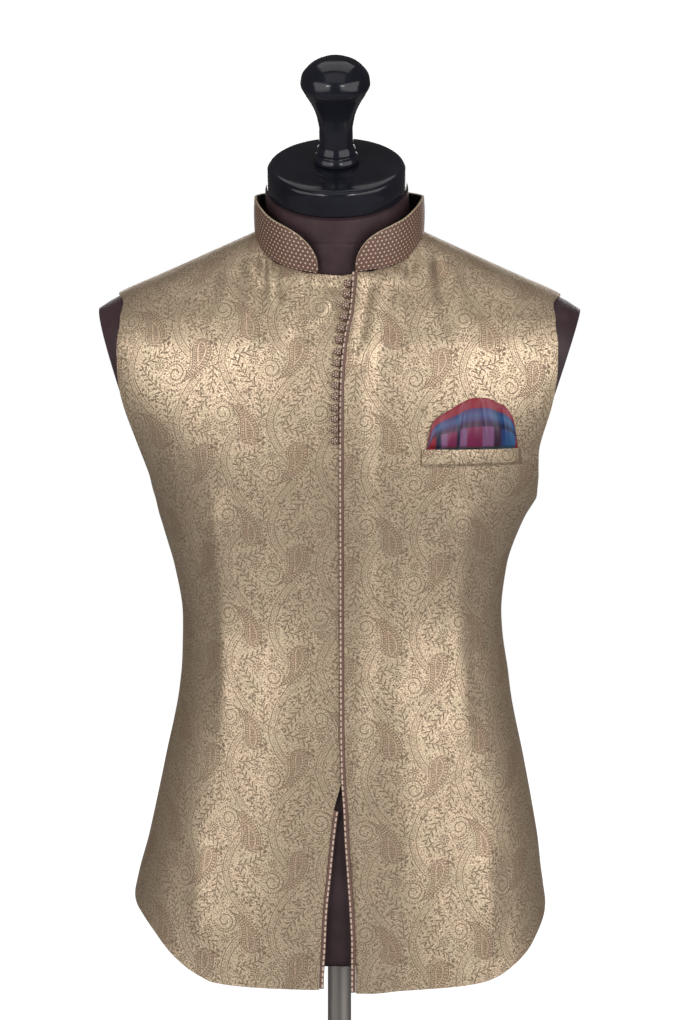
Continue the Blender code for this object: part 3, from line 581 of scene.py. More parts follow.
def armhole_shares():
    return np.concatenate([
        np.linspace(0, 0.62, ROWS_ARMHOLE + 1)[:-1],
        np.linspace(0.62, 1, ROWS_NECK + 1),
    ])


def back_grid(columns):
    """Places of the wearer's left half of the back, from the centre back to the side."""
    neck_turn, neck_height = neckline(np.linspace(180, 90, ROWS_NECK + 1))
    neck_turn[0] = 180
    neck_turn[-1] = 90 + seam_turn(NECK_SIDE)
    centre_height = centre_rows(neck_height[0])
    start = np.concatenate([pairs(180, centre_height), pairs(neck_turn, neck_height)])
    side_height = np.linspace(hem_height(90.0, "back"), UNDERARM, ROWS_BELOW + 1)[:-1]
    arm_turn, arm_height = armhole(armhole_shares(), ARMHOLE_BACK, "back")
    end = np.concatenate([
        pairs(90 + seam_turn(side_height), side_height),
        pairs(np.maximum(90 + arm_turn, 90 + seam_turn(arm_height)), arm_height),
    ])
    hem_turn = start[0, 0] + (end[0, 0] - start[0, 0]) * columns
    top = pairs(90 + seam_turn(NECK_SIDE), neck_height[-1] + (SHOULDER_TIP - neck_height[-1]) * columns)
    return patch(pairs(hem_turn, hem_height(180 - hem_turn, "back")), top, start, end, columns)


def new_object(name, mesh, *finishes):
    for finish in finishes:
        mesh.materials.append(finish)
    made = bpy.data.objects.new(name, mesh)
    bpy.context.scene.collection.objects.link(made)
    return made


def grid_faces(rows, columns, flip=False, wrap=False):
    i, j = np.meshgrid(np.arange(rows - 1), np.arange(columns if wrap else columns - 1), indexing="ij")
    k = (j + 1) % columns
    low, high = i * columns, (i + 1) * columns
    quads = np.stack([low + j, low + k, high + k, high + j], axis=-1).reshape(-1, 4)
    return quads[:, ::-1] if flip else quads


def mesh_of(name, points, faces, flat=None):
    """A smooth mesh. flat gives each point its place in the flat cloth, in metres."""
    mesh = bpy.data.meshes.new(name)
    faces = faces.tolist() if isinstance(faces, np.ndarray) else faces
    mesh.from_pydata(np.asarray(points).reshape(-1, 3).tolist(), [], faces)
    mesh.shade_smooth()
    if flat is not None:
        flat = np.asarray(flat).reshape(-1, 2)
        corners = np.array([loop.vertex_index for loop in mesh.loops])
        mesh.uv_layers.new(name="cloth").data.foreach_set("uv", flat[corners].ravel().astype(np.float32))
        low, high = flat.min(0), flat.max(0)
        even = 0.01 + 0.98 * (flat[corners] - low) / (high - low)
        mesh.uv_layers.new(name="OFBake").data.foreach_set("uv", even.ravel().astype(np.float32))
    return mesh


def rim_faces(rows, columns, offset, open_start):
    """Quads that join the borders of two grids. The first rows of the start column may stay open."""
    at = np.arange(rows * columns).reshape(rows, columns)
    sides = [at[0, :], at[:, -1], at[-1, ::-1], at[::-1, 0][: rows - open_start]]
    quads = []
    for side in sides:
        quads += [(b, a, a + offset, b + offset) for a, b in zip(side[:-1], side[1:])]
    return quads


def shell(inner, outer, flat, flip=False, open_start=0):
    """A piece of cloth from its inner and outer grids of points: points, faces, flat places and slots. Slot 0
    is the right side and the rim, slot 1 the reverse."""
    rows, columns = inner.shape[:2]
    count = rows * columns
    right_side = grid_faces(rows, columns, flip)
    reverse = grid_faces(rows, columns, not flip) + count
    rim = np.array(rim_faces(rows, columns, count, open_start))
    rim = rim[:, ::-1] if flip else rim
    points = np.concatenate([outer.reshape(-1, 3), inner.reshape(-1, 3)])
    places = np.concatenate([flat.reshape(-1, 2), flat.reshape(-1, 2)])
    slots = np.concatenate([np.zeros(len(right_side)), np.ones(len(reverse)), np.zeros(len(rim))])
    return points, np.concatenate([right_side, reverse, rim]), places, slots.astype(int)


def shell_object(name, shells, finishes, weld=False):
    """One object from one or more shells."""
    start, points, faces, places, slots = 0, [], [], [], []
    for part in shells:
        points.append(part[0])
        faces.append(part[1] + start)
        places.append(part[2])
        slots.append(part[3])
        start += len(part[0])
    mesh = mesh_of(name, np.concatenate(points), np.concatenate(faces), np.concatenate(places))
    mesh.polygons.foreach_set("material_index", np.concatenate(slots))
    if weld:
        joined = bmesh.new()
        joined.from_mesh(mesh)
        bmesh.ops.remove_doubles(joined, verts=joined.verts, dist=0.00001)
        joined.to_mesh(mesh)
        joined.free()
    mesh.set_sharp_from_angle(angle=math.radians(60))
    return new_object(name, mesh, *finishes)


def columns_near_edge():
    """Where a front's columns run, closer near its front edge."""
    share = np.linspace(0, 1, COLUMNS)
    return share * (0.62 + 0.38 * share)


def make_fronts(finishes):
    """Both fronts, the wearer's left one raised where it laps over the right one."""
    made = []
    for side, panel, edge in ((1, "left", left_cloth_edge), (-1, "right", right_cloth_edge)):
        grid = front_grid(edge, columns_near_edge(), panel)
        turn, height = side * grid[..., 0], grid[..., 1]
        lift = lap_lift(surface(turn, height)[..., 0], height) if side > 0 else 0 * height
        inner, outer = cloth_point(turn, height, lift), cloth_point(turn, height, lift + CLOTH)
        flat = np.stack(FRONT.to_cloth(turn, height), axis=-1)
        name = f"front_{panel}"
        cloth = shell(inner, outer, flat, flip=side < 0)
        piece = shell_object(f"{name}_cloth", [cloth], finishes[side])
        dress(piece, "brocade", name)
        made.append(piece)
    return made


def make_back(finishes):
    """The back, in one piece."""
    halves = []
    half = back_grid(np.linspace(0, 1, BACK_COLUMNS))
    for side in (1, -1):
        turn = half[..., 0] if side > 0 else 360 - half[..., 0]
        inner = cloth_point(turn, half[..., 1], 0 * turn, back_push)
        outer = cloth_point(turn, half[..., 1], 0 * turn + CLOTH, back_push)
        flat = np.stack(BACK.to_cloth(turn, half[..., 1]), axis=-1)
        below_neck = ROWS_BELOW + ROWS_ARMHOLE
        halves.append(shell(inner, outer, flat, flip=side > 0, open_start=below_neck))
    piece = shell_object("back_cloth", halves, finishes, weld=True)
    dress(piece, "brocade", "back_panel")
    return piece


def dress(piece, slot, *nodes):
    """Stands the piece for CAD nodes."""
    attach(piece, "root")
    if nodes:
        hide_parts(*nodes)
    return piece


def collar_base(angle):
    """The foot of the collar, on the rim of the panels, and the way that its wall rises."""
    turn, height = neckline(angle)
    flat = surface(turn, height)
    in_front = (np.abs(turn) < 90) & (flat[..., 0] > 0)
    lift = np.where(in_front, lap_lift(flat[..., 0], height), 0.0)
    rim = cloth_point(turn, height, lift, no_push)
    top = cloth_point(turn, height, lift + CLOTH, no_push)
    lean = math.radians(COLLAR_LEAN_DEG)
    rise = np.array([0.0, -math.sin(lean), math.cos(lean)])
    clear = np.maximum((top - rim) @ rise, 0.0) + COLLAR_ROOM
    return (rim + top) / 2 + rise * (clear - (top - rim) @ rise / 2)[..., None], rise


def no_push(turn, height):
    return 0.0 * height


def make_collar(finishes, edge_finish):
    end = neck_angle(left_edge(NECK_FRONT_TOP) + COLLAR_END_GAP)
    near = end + 30 * np.linspace(0, 1, 34)[:-1] ** 1.6
    far = np.linspace(end + 30, 180, 60)
    angles = np.concatenate([-near, -far[:-1], np.linspace(180, end + 30, 60), near[::-1]])
    foot, rise = collar_base(angles)
    along = np.concatenate([[0], np.cumsum(np.linalg.norm(np.diff(foot, axis=0), axis=1))])
    from_end = np.minimum(along, along[-1] - along)
    share = np.clip(from_end / COLLAR_CORNER, 0, 1)
    full = smooth_curve(*zip(*COLLAR_HEIGHTS), from_end / from_end.max())
    tall = COLLAR_END_HEIGHT + (full - COLLAR_END_HEIGHT) * np.sqrt(1 - (1 - share) ** 2.2)
    outward = foot * [1, 1, 0]
    outward /= np.linalg.norm(outward, axis=1, keepdims=True)
    foot = foot - outward * COLLAR_CLOTH / 2
    up = np.linspace(0, 1, 14)[:, None, None]
    inner = foot[None] + rise * tall[None, :, None] * up
    swell = 0.0006 * np.sin(np.pi * up)
    outer = inner + outward[None] * (COLLAR_CLOTH + swell)
    flat = np.stack(np.broadcast_arrays(along[None, :], tall[None, :] * up[..., 0]), axis=-1)
    piece = shell_object("collar_cloth", [shell(inner, outer, flat, flip=True)], finishes)
    dress(piece, "contrast", "collar")
    line = outer[-1] - outward * 0.0007 + rise * 0.0001
    cord = ring_mesh("collar_edge_cord", line, outward, np.tile(rise, (len(line), 1)), 8, 0.0008, 0.0007)
    dress(new_object("collar_edge_cord", cord, edge_finish), "contrast")
    return piece


def ring_mesh(name, line, across, out, sides, half_width, half_height):
    """A closed bar along a line. across and out give its section's two ways at each point."""
    angle = np.linspace(0, 2 * np.pi, sides, endpoint=False)
    section = (
        line[:, None]
        + across[:, None] * (half_width * np.cos(angle))[None, :, None]
        + out[:, None] * (half_height * np.sin(angle))[None, :, None]
    )
    along = np.concatenate([[0], np.cumsum(np.linalg.norm(np.diff(line, axis=0), axis=1))])
    points = np.concatenate([section, section[:, :1]], axis=1)
    around = np.linspace(0, 1, sides + 1)
    flat = np.stack(np.broadcast_arrays(along[:, None], around[None, :] * 0.01), axis=-1)
    rows = len(line)
    faces = grid_faces(rows, sides + 1).tolist()
    mesh = mesh_of(name, points, faces, flat)
    joined = bmesh.new()
    joined.from_mesh(mesh)
    bmesh.ops.remove_doubles(joined, verts=joined.verts, dist=0.000001)
    bmesh.ops.holes_fill(joined, edges=[edge for edge in joined.edges if edge.is_boundary], sides=sides)
    bmesh.ops.recalc_face_normals(joined, faces=joined.faces)
    joined.to_mesh(mesh)
    joined.free()
    mesh.set_sharp_from_angle(angle=math.radians(60))
    return mesh


def unit(vectors):
    return vectors / np.linalg.norm(vectors, axis=-1, keepdims=True)


def along_line(line):
    """The way along a line of points at each of them."""
    return unit(np.gradient(line, axis=0))


def make_piping(left_finish, right_finish):
    low = edge_foot(left_cloth_edge, "left") + PIPING_RADIUS
    heights = np.linspace(low, float(neckline(neck_angle(left_cloth_edge(NECK_FRONT_TOP)))[1]), 260)
    lay_piping("piping_left", left_edge(heights), heights, CLOTH + SEAM * 1.5 + PIPING_RADIUS, left_finish)
    heights = np.linspace(HEM + PIPING_RADIUS, RIGHT_PIPING_TOP, 80)
    lay_piping("piping_right", right_edge(heights), heights, CLOTH / 2 + SEAM, right_finish)


def lay_piping(node, x, heights, out, finish):
    line = on_front(x, heights, out)
    away = unit(on_front(x, heights, out + 0.01) - line)
    across = np.cross(along_line(line), away)
    mesh = ring_mesh(f"{node}_cord", line, across, away, 16, PIPING_RADIUS * 1.5, PIPING_RADIUS * 0.95)
    dress(new_object(f"{node}_cord", mesh, finish), "contrast", node)


def front_place(x, height, out):
    """A place on the front with its own Z square to the cloth."""
    foot = Vector(on_front(x, height, out))
    normal = (Vector(on_front(x, height, out + 0.01)) - foot).normalized()
    side = Vector((1, 0, 0)) - normal * normal.x
    side.normalize()
    turn = Matrix((side, normal.cross(side), normal)).transposed()
    return Matrix.Translation(foot) @ turn.to_4x4()


def turned_mesh(name, profile, steps, place=Matrix.Identity(4)):
    """A solid of revolution with its place in the mesh. The profile's (height, radius) points run down."""
    profile = np.array(profile)
    angle = np.linspace(0, 2 * np.pi, steps + 1)
    x = profile[:, 1:] * np.cos(angle)
    y = profile[:, 1:] * np.sin(angle)
    z = np.broadcast_to(profile[:, :1], x.shape)
    along = np.concatenate([[0], np.cumsum(np.linalg.norm(np.diff(profile, axis=0), axis=1))])
    girth = profile[:, 1].max()
    flat = np.stack(np.broadcast_arrays(angle[None, :] * girth, along[:, None]), axis=-1)
    mesh = mesh_of(name, np.stack([x, y, z], axis=-1), grid_faces(len(profile), steps + 1, True), flat)
    joined = bmesh.new()
    joined.from_mesh(mesh)
    bmesh.ops.remove_doubles(joined, verts=joined.verts, dist=0.000001)
    bmesh.ops.recalc_face_normals(joined, faces=joined.faces)
    joined.transform(place)
    joined.to_mesh(mesh)
    joined.free()
    mesh.set_sharp_from_angle(angle=math.radians(38))
    return mesh


def make_buttons(ball_finish, cord_finish):
    """Ball buttons on the right front, each held by a loop from the left edge's piping."""
    heights = np.linspace(BUTTON_TOP, BUTTON_BOTTOM, BUTTON_COUNT)
    angles = np.radians(np.linspace(90, -62, 15))
    ball = [(BUTTON_RISE + BUTTON_RADIUS * math.sin(a), BUTTON_RADIUS * math.cos(a)) for a in angles]
    profile = ball + [(BUTTON_RISE - BUTTON_RADIUS * 0.95, SHANK_RADIUS), (0.0, SHANK_RADIUS), (0.0, 0.0)]
    bend = np.radians(np.linspace(90, 270, 17))
    turn_radius = SHANK_RADIUS + LOOP_RADIUS + FASTENING_GAP
    for number, height in enumerate(heights, 1):
        x = float(left_edge(height)) - BUTTON_FROM_PIPING
        name = f"button_{number:02d}"
        mesh = turned_mesh(f"{name}_ball", profile, 24, front_place(x, height, CLOTH + FASTENING_GAP))
        dress(new_object(f"{name}_ball", mesh, ball_finish), "contrast", name)
        ends = np.array([height + turn_radius, height - turn_radius])
        root = left_edge(ends) - PIPING_RADIUS * 1.2
        loop_x = np.concatenate([root[:1], x + turn_radius * np.cos(bend), root[1:]])
        loop_height = np.concatenate([ends[:1], height + turn_radius * np.sin(bend), ends[1:]])
        out = CLOTH + FASTENING_GAP + LOOP_RADIUS
        line = on_front(loop_x, loop_height, np.full(loop_x.shape, out))
        away = unit(on_front(loop_x, loop_height, np.full(loop_x.shape, out + 0.01)) - line)
        across = unit(np.cross(along_line(line), away))
        name = f"loop_{number:02d}"
        mesh = ring_mesh(f"{name}_cord", line, across, away, 8, LOOP_RADIUS, LOOP_RADIUS)
        dress(new_object(f"{name}_cord", mesh, cord_finish), "contrast", name)


def add_share(piece, left, right):
    """A second map for the welt: share of its length, and share of its height above its own lower edge."""
    mesh = piece.data
    shares = mesh.uv_layers.new(name="share")
    for loop in mesh.loops:
        spot = mesh.vertices[loop.vertex_index].co
        across = (spot.x - left) / (right - left)
        low = WELT_TOP_INNER + (WELT_TOP_OUTER - WELT_TOP_INNER) * across - WELT_HEIGHT
        shares.data[loop.index].uv = (across, (spot.z - low) / WELT_HEIGHT)


def make_welt(finishes):
    across = np.linspace(0, 1, 40)[None, :]
    up = np.linspace(0, 1, 10)[:, None]
    x = WELT_LEFT + (WELT_RIGHT - WELT_LEFT) * across + 0 * up
    height = WELT_TOP_INNER + (WELT_TOP_OUTER - WELT_TOP_INNER) * across - WELT_HEIGHT * (1 - up)
    swell = 0.0004 * np.sin(np.pi * up) * np.sin(np.pi * across)
    inner = on_front(x, height, CLOTH + 2 * SEAM + 0 * x)
    outer = on_front(x, height, 2 * CLOTH + 2 * SEAM + swell)
    flat = np.stack(FRONT.to_cloth(turn_at(x, height), height), axis=-1)
    piece = shell_object("pocket_welt_cloth", [shell(inner, outer, flat)], finishes)
    add_share(piece, WELT_LEFT, WELT_RIGHT)
    dress(piece, "brocade", "pocket_welt")
    return piece


# Height of the pocket square above the welt, along the welt
SQUARE_OUTLINE = (
    (0.050, 0.040), (0.075, 0.300), (0.120, 0.580), (0.190, 0.700), (0.270, 0.787), (0.430, 0.957),
    (0.530, 1.030),
    (0.660, 1.035), (0.760, 0.966), (0.860, 0.866), (0.930, 0.680), (0.965, 0.350), (0.975, 0.050),
)


def square_outline(across):
    """Height of the folded square above the welt, as a share of SQUARE_HEIGHT."""
    return smooth_curve(*zip(*SQUARE_OUTLINE), across)


# Pleats of the pocket square: where each runs at its foot and at its top, its width and its depth
Pleat = namedtuple("Pleat", "foot top width depth")
PLEATS = (
    Pleat(0.10, 0.26, 0.050, -0.0020),
    Pleat(0.24, 0.38, 0.045, 0.0022),
    Pleat(0.36, 0.47, 0.030, -0.0030),
    Pleat(0.50, 0.55, 0.060, 0.0024),
    Pleat(0.66, 0.63, 0.030, -0.0022),
    Pleat(0.76, 0.74, 0.050, 0.0020),
    Pleat(0.85, 0.84, 0.028, -0.0026),
    Pleat(0.94, 0.93, 0.040, 0.0010),
)


def make_square(finish):
    """The pocket square: a puff with fanned pleats, open at its foot, standing out of the welt."""
    across = np.linspace(0.05, 0.975, 84)[None, :]
    up = np.linspace(0, 1, 44)[:, None]
    x = WELT_LEFT + (WELT_RIGHT - WELT_LEFT) * across + 0 * up
    foot = WELT_TOP_INNER + (WELT_TOP_OUTER - WELT_TOP_INNER) * across - 0.004
    height = foot + (SQUARE_HEIGHT + 0.004) * square_outline(across) * up
    dome = np.sin(np.pi * across) ** 0.7 * (0.30 + 0.70 * np.sin(np.pi * up)) * (1 - up**3)
    pleats = 0 * x
    for pleat in PLEATS:
        line = pleat.foot + (pleat.top - pleat.foot) * up
        pleats = pleats + pleat.depth * np.exp(-(((across - line) / pleat.width) ** 2))
    pleats = pleats * np.sin(np.pi * np.clip(up, 0, 1)) ** 0.5 * np.sin(np.pi * across) ** 0.3
    behind = CLOTH + SEAM
    tuck = 1 - ease(height - foot, 0.0042, 0.0085)
    out = behind + 0.0012 + 0.0085 * dome + pleats
    out = np.maximum(out * (1 - tuck) + (behind + 0.0002) * tuck, behind + 0.0002)
    face = on_front(x, height, out + 0.0006)
    reverse = on_front(x, height, out)
    flat = np.stack(np.broadcast_arrays(across * SQUARE_WIDTH, up * SQUARE_LENGTH), axis=-1)
    piece = shell_object("pocket_square_silk", [shell(reverse, face, flat)], [finish, finish])
    dress(piece, "silk", "pocket_square")
    return piece


def neck_ring(angle, height):
    """A ring of the form's neck."""
    row = {column: float(smooth_table(NECK, column, height)) for column in NeckRow._fields[1:]}
    forward = signed_power(np.cos(angle), row["roof"])
    y = -forward * np.where(forward > 0, row["front"], row["back"])
    x = np.sin(angle) * row["half_width"] + NECK_LEAN * ease(height, 0.900, NECK[-1].height)
    z = height + y * math.tan(math.radians(row["tilt_deg"]))
    return np.stack([x, row["centre"] + y, z], axis=-1)


def body_ring(turn, height, extra=0.0):
    """A ring of the form's body, inside the cloth."""
    inset = float(smooth_table(INSET, "inset", height)) + extra
    at_side = float(smooth_table(INSET, "side", height)) + extra
    ring = surface(turn, np.full(turn.shape, height))
    ring[:, 0] *= 1 - at_side / float(smooth_table(BODY, "half_width", height))
    for behind, column in ((False, "front"), (True, "back")):
        half = (ring[:, 1] > 0) == behind
        ring[half, 1] *= 1 - inset / float(smooth_table(BODY, column, height))
    return ring


def make_form(finish, shaded_plate_finish):
    """The form's body with a flat plate at each arm, the plates in a darker copy of the leather as painted
    shade.
    """
    turn = np.linspace(0, 360, 144, endpoint=False)
    heights = np.concatenate([[0.215, 0.2165, 0.219, 0.223], np.linspace(0.230, 0.873, 92)])
    rounding = {0.215: 0.0060, 0.2165: 0.0030, 0.219: 0.0012, 0.223: 0.0003}
    rings = [body_ring(turn, height, rounding.get(height, 0.0)) for height in heights]
    neck_heights = np.linspace(NECK[0].height, NECK[-1].height, 34)
    rings += [neck_ring(np.radians(turn), height) for height in neck_heights]
    rings = np.array(rings)
    rows, columns = rings.shape[:2]
    faces = grid_faces(rows, columns, wrap=True).tolist()
    faces.append(list(range(columns))[::-1])
    faces.append([(rows - 1) * columns + j for j in range(columns)])
    form = new_object("form_body", mesh_of("form_body", rings, faces), finish, shaded_plate_finish)
    for side in (1, -1):
        cut_plate(form, side, shaded_plate_finish)
    bpy.context.view_layer.update()
    shape = bpy.data.meshes.new_from_object(form.evaluated_get(bpy.context.evaluated_depsgraph_get()))
    cutters = [cut.object for cut in form.modifiers]
    form.modifiers.clear()
    form.data = shape
    for cutter in cutters:
        bpy.data.objects.remove(cutter, do_unlink=True)
    shape.shade_smooth()
    shape.set_sharp_from_angle(angle=math.radians(35))
    round_edges(form, 0.0012)
    dress(form, "leather", "dress_form")
    return form


def cut_plate(form, side, finish):
    """Cuts the form with a box that leans as the arm plate does."""
    size = Vector((0.20, 0.40, 0.50))
    lean = math.atan(PLATE_SLOPE)
    place = Matrix.Translation((side * PLATE_X, 0, PLATE_HEIGHT)) @ Matrix.Rotation(side * lean, 4, "Y")
    place = place @ Matrix.Translation((side * size.x / 2, 0, -0.06))
    corners = [Vector((x, y, z)) for x in (-0.5, 0.5) for y in (-0.5, 0.5) for z in (-0.5, 0.5)]
    points = [place @ Vector((c.x * size.x, c.y * size.y, c.z * size.z)) for c in corners]
    faces = [(0, 1, 3, 2), (4, 6, 7, 5), (0, 4, 5, 1), (2, 3, 7, 6), (0, 2, 6, 4), (1, 5, 7, 3)]
    mesh = bpy.data.meshes.new("plate_cutter")
    mesh.from_pydata([tuple(point) for point in points], [], faces)
    cutter = new_object("plate_cutter", mesh, finish)
    cut = form.modifiers.new("Plate", "BOOLEAN")
    cut.operation = "DIFFERENCE"
    cut.solver = "EXACT"
    cut.material_mode = "TRANSFER"
    cut.object = cutter


def round_edges(piece, width):
    soft = piece.modifiers.new("Rounded edges", "BEVEL")
    soft.width = width
    soft.segments = 3
    soft.limit_method = "ANGLE"
    soft.angle_limit = math.radians(45)
    soft.harden_normals = True


def fine_profile(profile, count):
    """A turned profile with more points, on a smooth curve through the ones given."""
    profile = np.array(profile)
    along = np.concatenate([[0], np.cumsum(np.linalg.norm(np.diff(profile, axis=0), axis=1))])
    at = np.sort(np.concatenate([along, np.linspace(0, along[-1], count)]))
    at = at[np.concatenate([[True], np.diff(at) > 1e-5])]
    heights, radii = (smooth_curve(along, profile[:, i], at) for i in (0, 1))
    return list(zip(heights, radii))


def turned_piece(name, profile, count, finish, slot, node, *place):
    """A turned piece in place of a node."""
    dress(new_object(name, turned_mesh(name, profile, count, *place), finish), slot, node)


def make_cap(finish):
    """The turned neck cap and its knob, square to the top of the leaning neck."""
    top = NECK[-1]
    tilt = math.radians(top.tilt_deg)
    axis = Vector((0, -math.sin(tilt), math.cos(tilt)))
    foot = Vector((NECK_LEAN, top.centre, top.height)) + axis * SEAM
    place = Matrix.Translation(foot) @ Matrix.Rotation(tilt, 4, "X")
    cap = fine_profile(CAP[:-1] + ((0.0000, 0.0660),), 60) + [(0.0, 0.0)]
    turned_piece("cap_turned", cap, 96, finish, "lacquer", "neck_cap", place)
    place = place @ Matrix.Translation((0, 0, CAP[0][0]))
    knob = fine_profile(KNOB, 90) + [(0.0004, 0.0)]
    turned_piece("knob_turned", knob, 64, finish, "lacquer", "cap_knob", place)


def make_stand(pole_finish, base_finish):
    """A pole on a weighted round base."""
    edge = [
        (BASE_THICKNESS - 0.004 * (1 - math.cos(a)), BASE_RADIUS - 0.004 * (1 - math.sin(a)))
        for a in np.radians(np.linspace(0, 90, 9))
    ]
    boss = [
        (BOSS_HEIGHT - 0.003 * (1 - math.cos(a)), BOSS_RADIUS - 0.003 * (1 - math.sin(a)))
        for a in np.radians(np.linspace(0, 90, 7))
    ]
    fillet = [(BASE_THICKNESS + 0.004, BOSS_RADIUS), (BASE_THICKNESS + 0.0012, BOSS_RADIUS + 0.0012),
              (BASE_THICKNESS, BOSS_RADIUS + 0.004)]
    profile = [(BOSS_HEIGHT, 0.0), *boss, *fillet, *edge, (0.0, BASE_RADIUS), (0.0, 0.0)]
    turned_piece("base_turned", profile, 128, base_finish, "steel", "stand_base")
    low, high = BOSS_HEIGHT + SEAM, FORM_BOTTOM - SEAM
    pole = [(high, 0.0), (high, POLE_RADIUS - 0.0006), (high - 0.0006, POLE_RADIUS),
            (low + 0.0006, POLE_RADIUS), (low, POLE_RADIUS - 0.0006), (low, 0.0)]
    turned_piece("pole_turned", pole, 64, pole_finish, "steel", "stand_pole")


class Term:
    """A value worked out by a material's nodes."""

    def __init__(self, net, socket):
        self.net = net
        self.socket = socket

    def maths(self, operation, *others):
        return self.net.maths(operation, self, *others)

    def __add__(self, other):
        return self.maths("ADD", other)

    __radd__ = __add__

    def __sub__(self, other):
        return self.maths("SUBTRACT", other)

    def __rsub__(self, other):
        return self.net.maths("SUBTRACT", other, self)

    def __mul__(self, other):
        return self.maths("MULTIPLY", other)

    __rmul__ = __mul__

    def __truediv__(self, other):
        return self.maths("DIVIDE", other)

    def __abs__(self):
        return self.maths("ABSOLUTE")

    def times_plus(self, factor, addend):
        return self.maths("MULTIPLY_ADD", factor, addend)

    def fract(self):
        return self.maths("FRACT")

    def below(self, limit):
        return self.maths("LESS_THAN", limit)

    def above(self, limit):
        return self.maths("GREATER_THAN", limit)

    def near(self, value, reach):
        return self.maths("COMPARE", value, reach)

    def most(self, other):
        return self.maths("MAXIMUM", other)


class Net:
    """A material made of nodes."""

    def __init__(self, name, group=False):
        if group:
            self.tree = bpy.data.node_groups.new(name, "ShaderNodeTree")
            self.inward = self.tree.nodes.new("NodeGroupInput")
            self.outward = self.tree.nodes.new("NodeGroupOutput")
            return
        self.material = bpy.data.materials.new(name)
        self.material.use_nodes = True
        self.tree = self.material.node_tree
        self.shader = self.tree.nodes["Principled BSDF"]

    def entry(self, name, kind):
        """A value that is given to a group."""
        self.tree.interface.new_socket(name, in_out="INPUT", socket_type=kind)
        return Term(self, self.inward.outputs[name])

    def give(self, name, value):
        """A value that a group gives."""
        self.tree.interface.new_socket(name, in_out="OUTPUT", socket_type="NodeSocketFloat")
        self.feed(self.outward.inputs[name], value)

    def use(self, group, place):
        """What a group gives for a place."""
        made = self.tree.nodes.new("ShaderNodeGroup")
        made.node_tree = group
        self.feed(made.inputs[0], place)
        return [Term(self, socket) for socket in made.outputs]

    def turned(self, vector, angle):
        """A vector turned about Z."""
        made = self.node("ShaderNodeVectorRotate", vector, rotation_type="Z_AXIS")
        made.inputs["Angle"].default_value = angle
        return Term(self, made.outputs[0])

    def feed(self, socket, value):
        if isinstance(value, Term):
            self.tree.links.new(value.socket, socket)
        elif value is not None:
            socket.default_value = value

    def node(self, kind, *inputs, **settings):
        made = self.tree.nodes.new(kind)
        for name, value in settings.items():
            setattr(made, name, value)
        for socket, value in zip(made.inputs, inputs):
            self.feed(socket, value)
        return made

    def maths(self, operation, *values):
        return Term(self, self.node("ShaderNodeMath", *values, operation=operation).outputs[0])

    def vector(self, operation, *values, result=0):
        return Term(self, self.node("ShaderNodeVectorMath", *values, operation=operation).outputs[result])

    def join(self, x, y, z=0.0):
        return Term(self, self.node("ShaderNodeCombineXYZ", x, y, z).outputs[0])

    def split(self, vector):
        made = self.node("ShaderNodeSeparateXYZ", vector)
        return Term(self, made.outputs[0]), Term(self, made.outputs[1])

    def cloth_place(self):
        return Term(self, self.node("ShaderNodeUVMap", uv_map="cloth").outputs[0])

    def object_place(self):
        return Term(self, self.node("ShaderNodeTexCoord").outputs["Object"])

    def noise(self, place, scale, detail=2.0, roughness=0.5):
        made = self.node("ShaderNodeTexNoise", noise_dimensions="3D")
        self.feed(made.inputs["Vector"], place)
        made.inputs["Scale"].default_value = scale
        made.inputs["Detail"].default_value = detail
        made.inputs["Roughness"].default_value = roughness
        return Term(self, made.outputs[0])

    def cells(self, place, scale, randomness=1.0, feature="F1", output="Distance"):
        made = self.node("ShaderNodeTexVoronoi", feature=feature, voronoi_dimensions="2D")
        self.feed(made.inputs["Vector"], place)
        made.inputs["Scale"].default_value = scale
        made.inputs["Randomness"].default_value = randomness
        return Term(self, made.outputs[output])

    def ramp(self, value, *stops, mode="LINEAR"):
        """Colours or numbers along a value, from pairs of place and colour."""
        made = self.node("ShaderNodeValToRGB", value)
        bar = made.color_ramp
        bar.interpolation = mode
        while len(bar.elements) < len(stops):
            bar.elements.new(0.5)
        for element, (place, colour) in zip(bar.elements, stops):
            element.position = place
            element.color = (*colour, 1.0)
        return Term(self, made.outputs[0])

    def scale_to(self, value, low, high, new_low, new_high):
        made = self.node("ShaderNodeMapRange", value, low, high, new_low, new_high, clamp=True)
        return Term(self, made.outputs[0])

    def blend(self, share, first, second, mode="MIX"):
        made = self.node("ShaderNodeMix", data_type="RGBA", blend_type=mode)
        self.feed(made.inputs[0], share)
        for index, colour in ((6, first), (7, second)):
            self.feed(made.inputs[index], colour if isinstance(colour, Term) else (*colour, 1.0))
        return Term(self, made.outputs[2])

    def bump(self, height, distance, strength=1.0, over=None):
        made = self.node("ShaderNodeBump")
        made.inputs["Strength"].default_value = strength
        made.inputs["Distance"].default_value = distance
        self.feed(made.inputs["Height"], height)
        if over is not None:
            self.feed(made.inputs["Normal"], over)
        return Term(self, made.outputs[0])

    def finish(self, **sockets):
        for name, value in sockets.items():
            socket = self.shader.inputs[name.replace("_", " ")]
            if isinstance(value, tuple):
                value = (*value, 1.0)
            self.feed(socket, value)
        return self.material


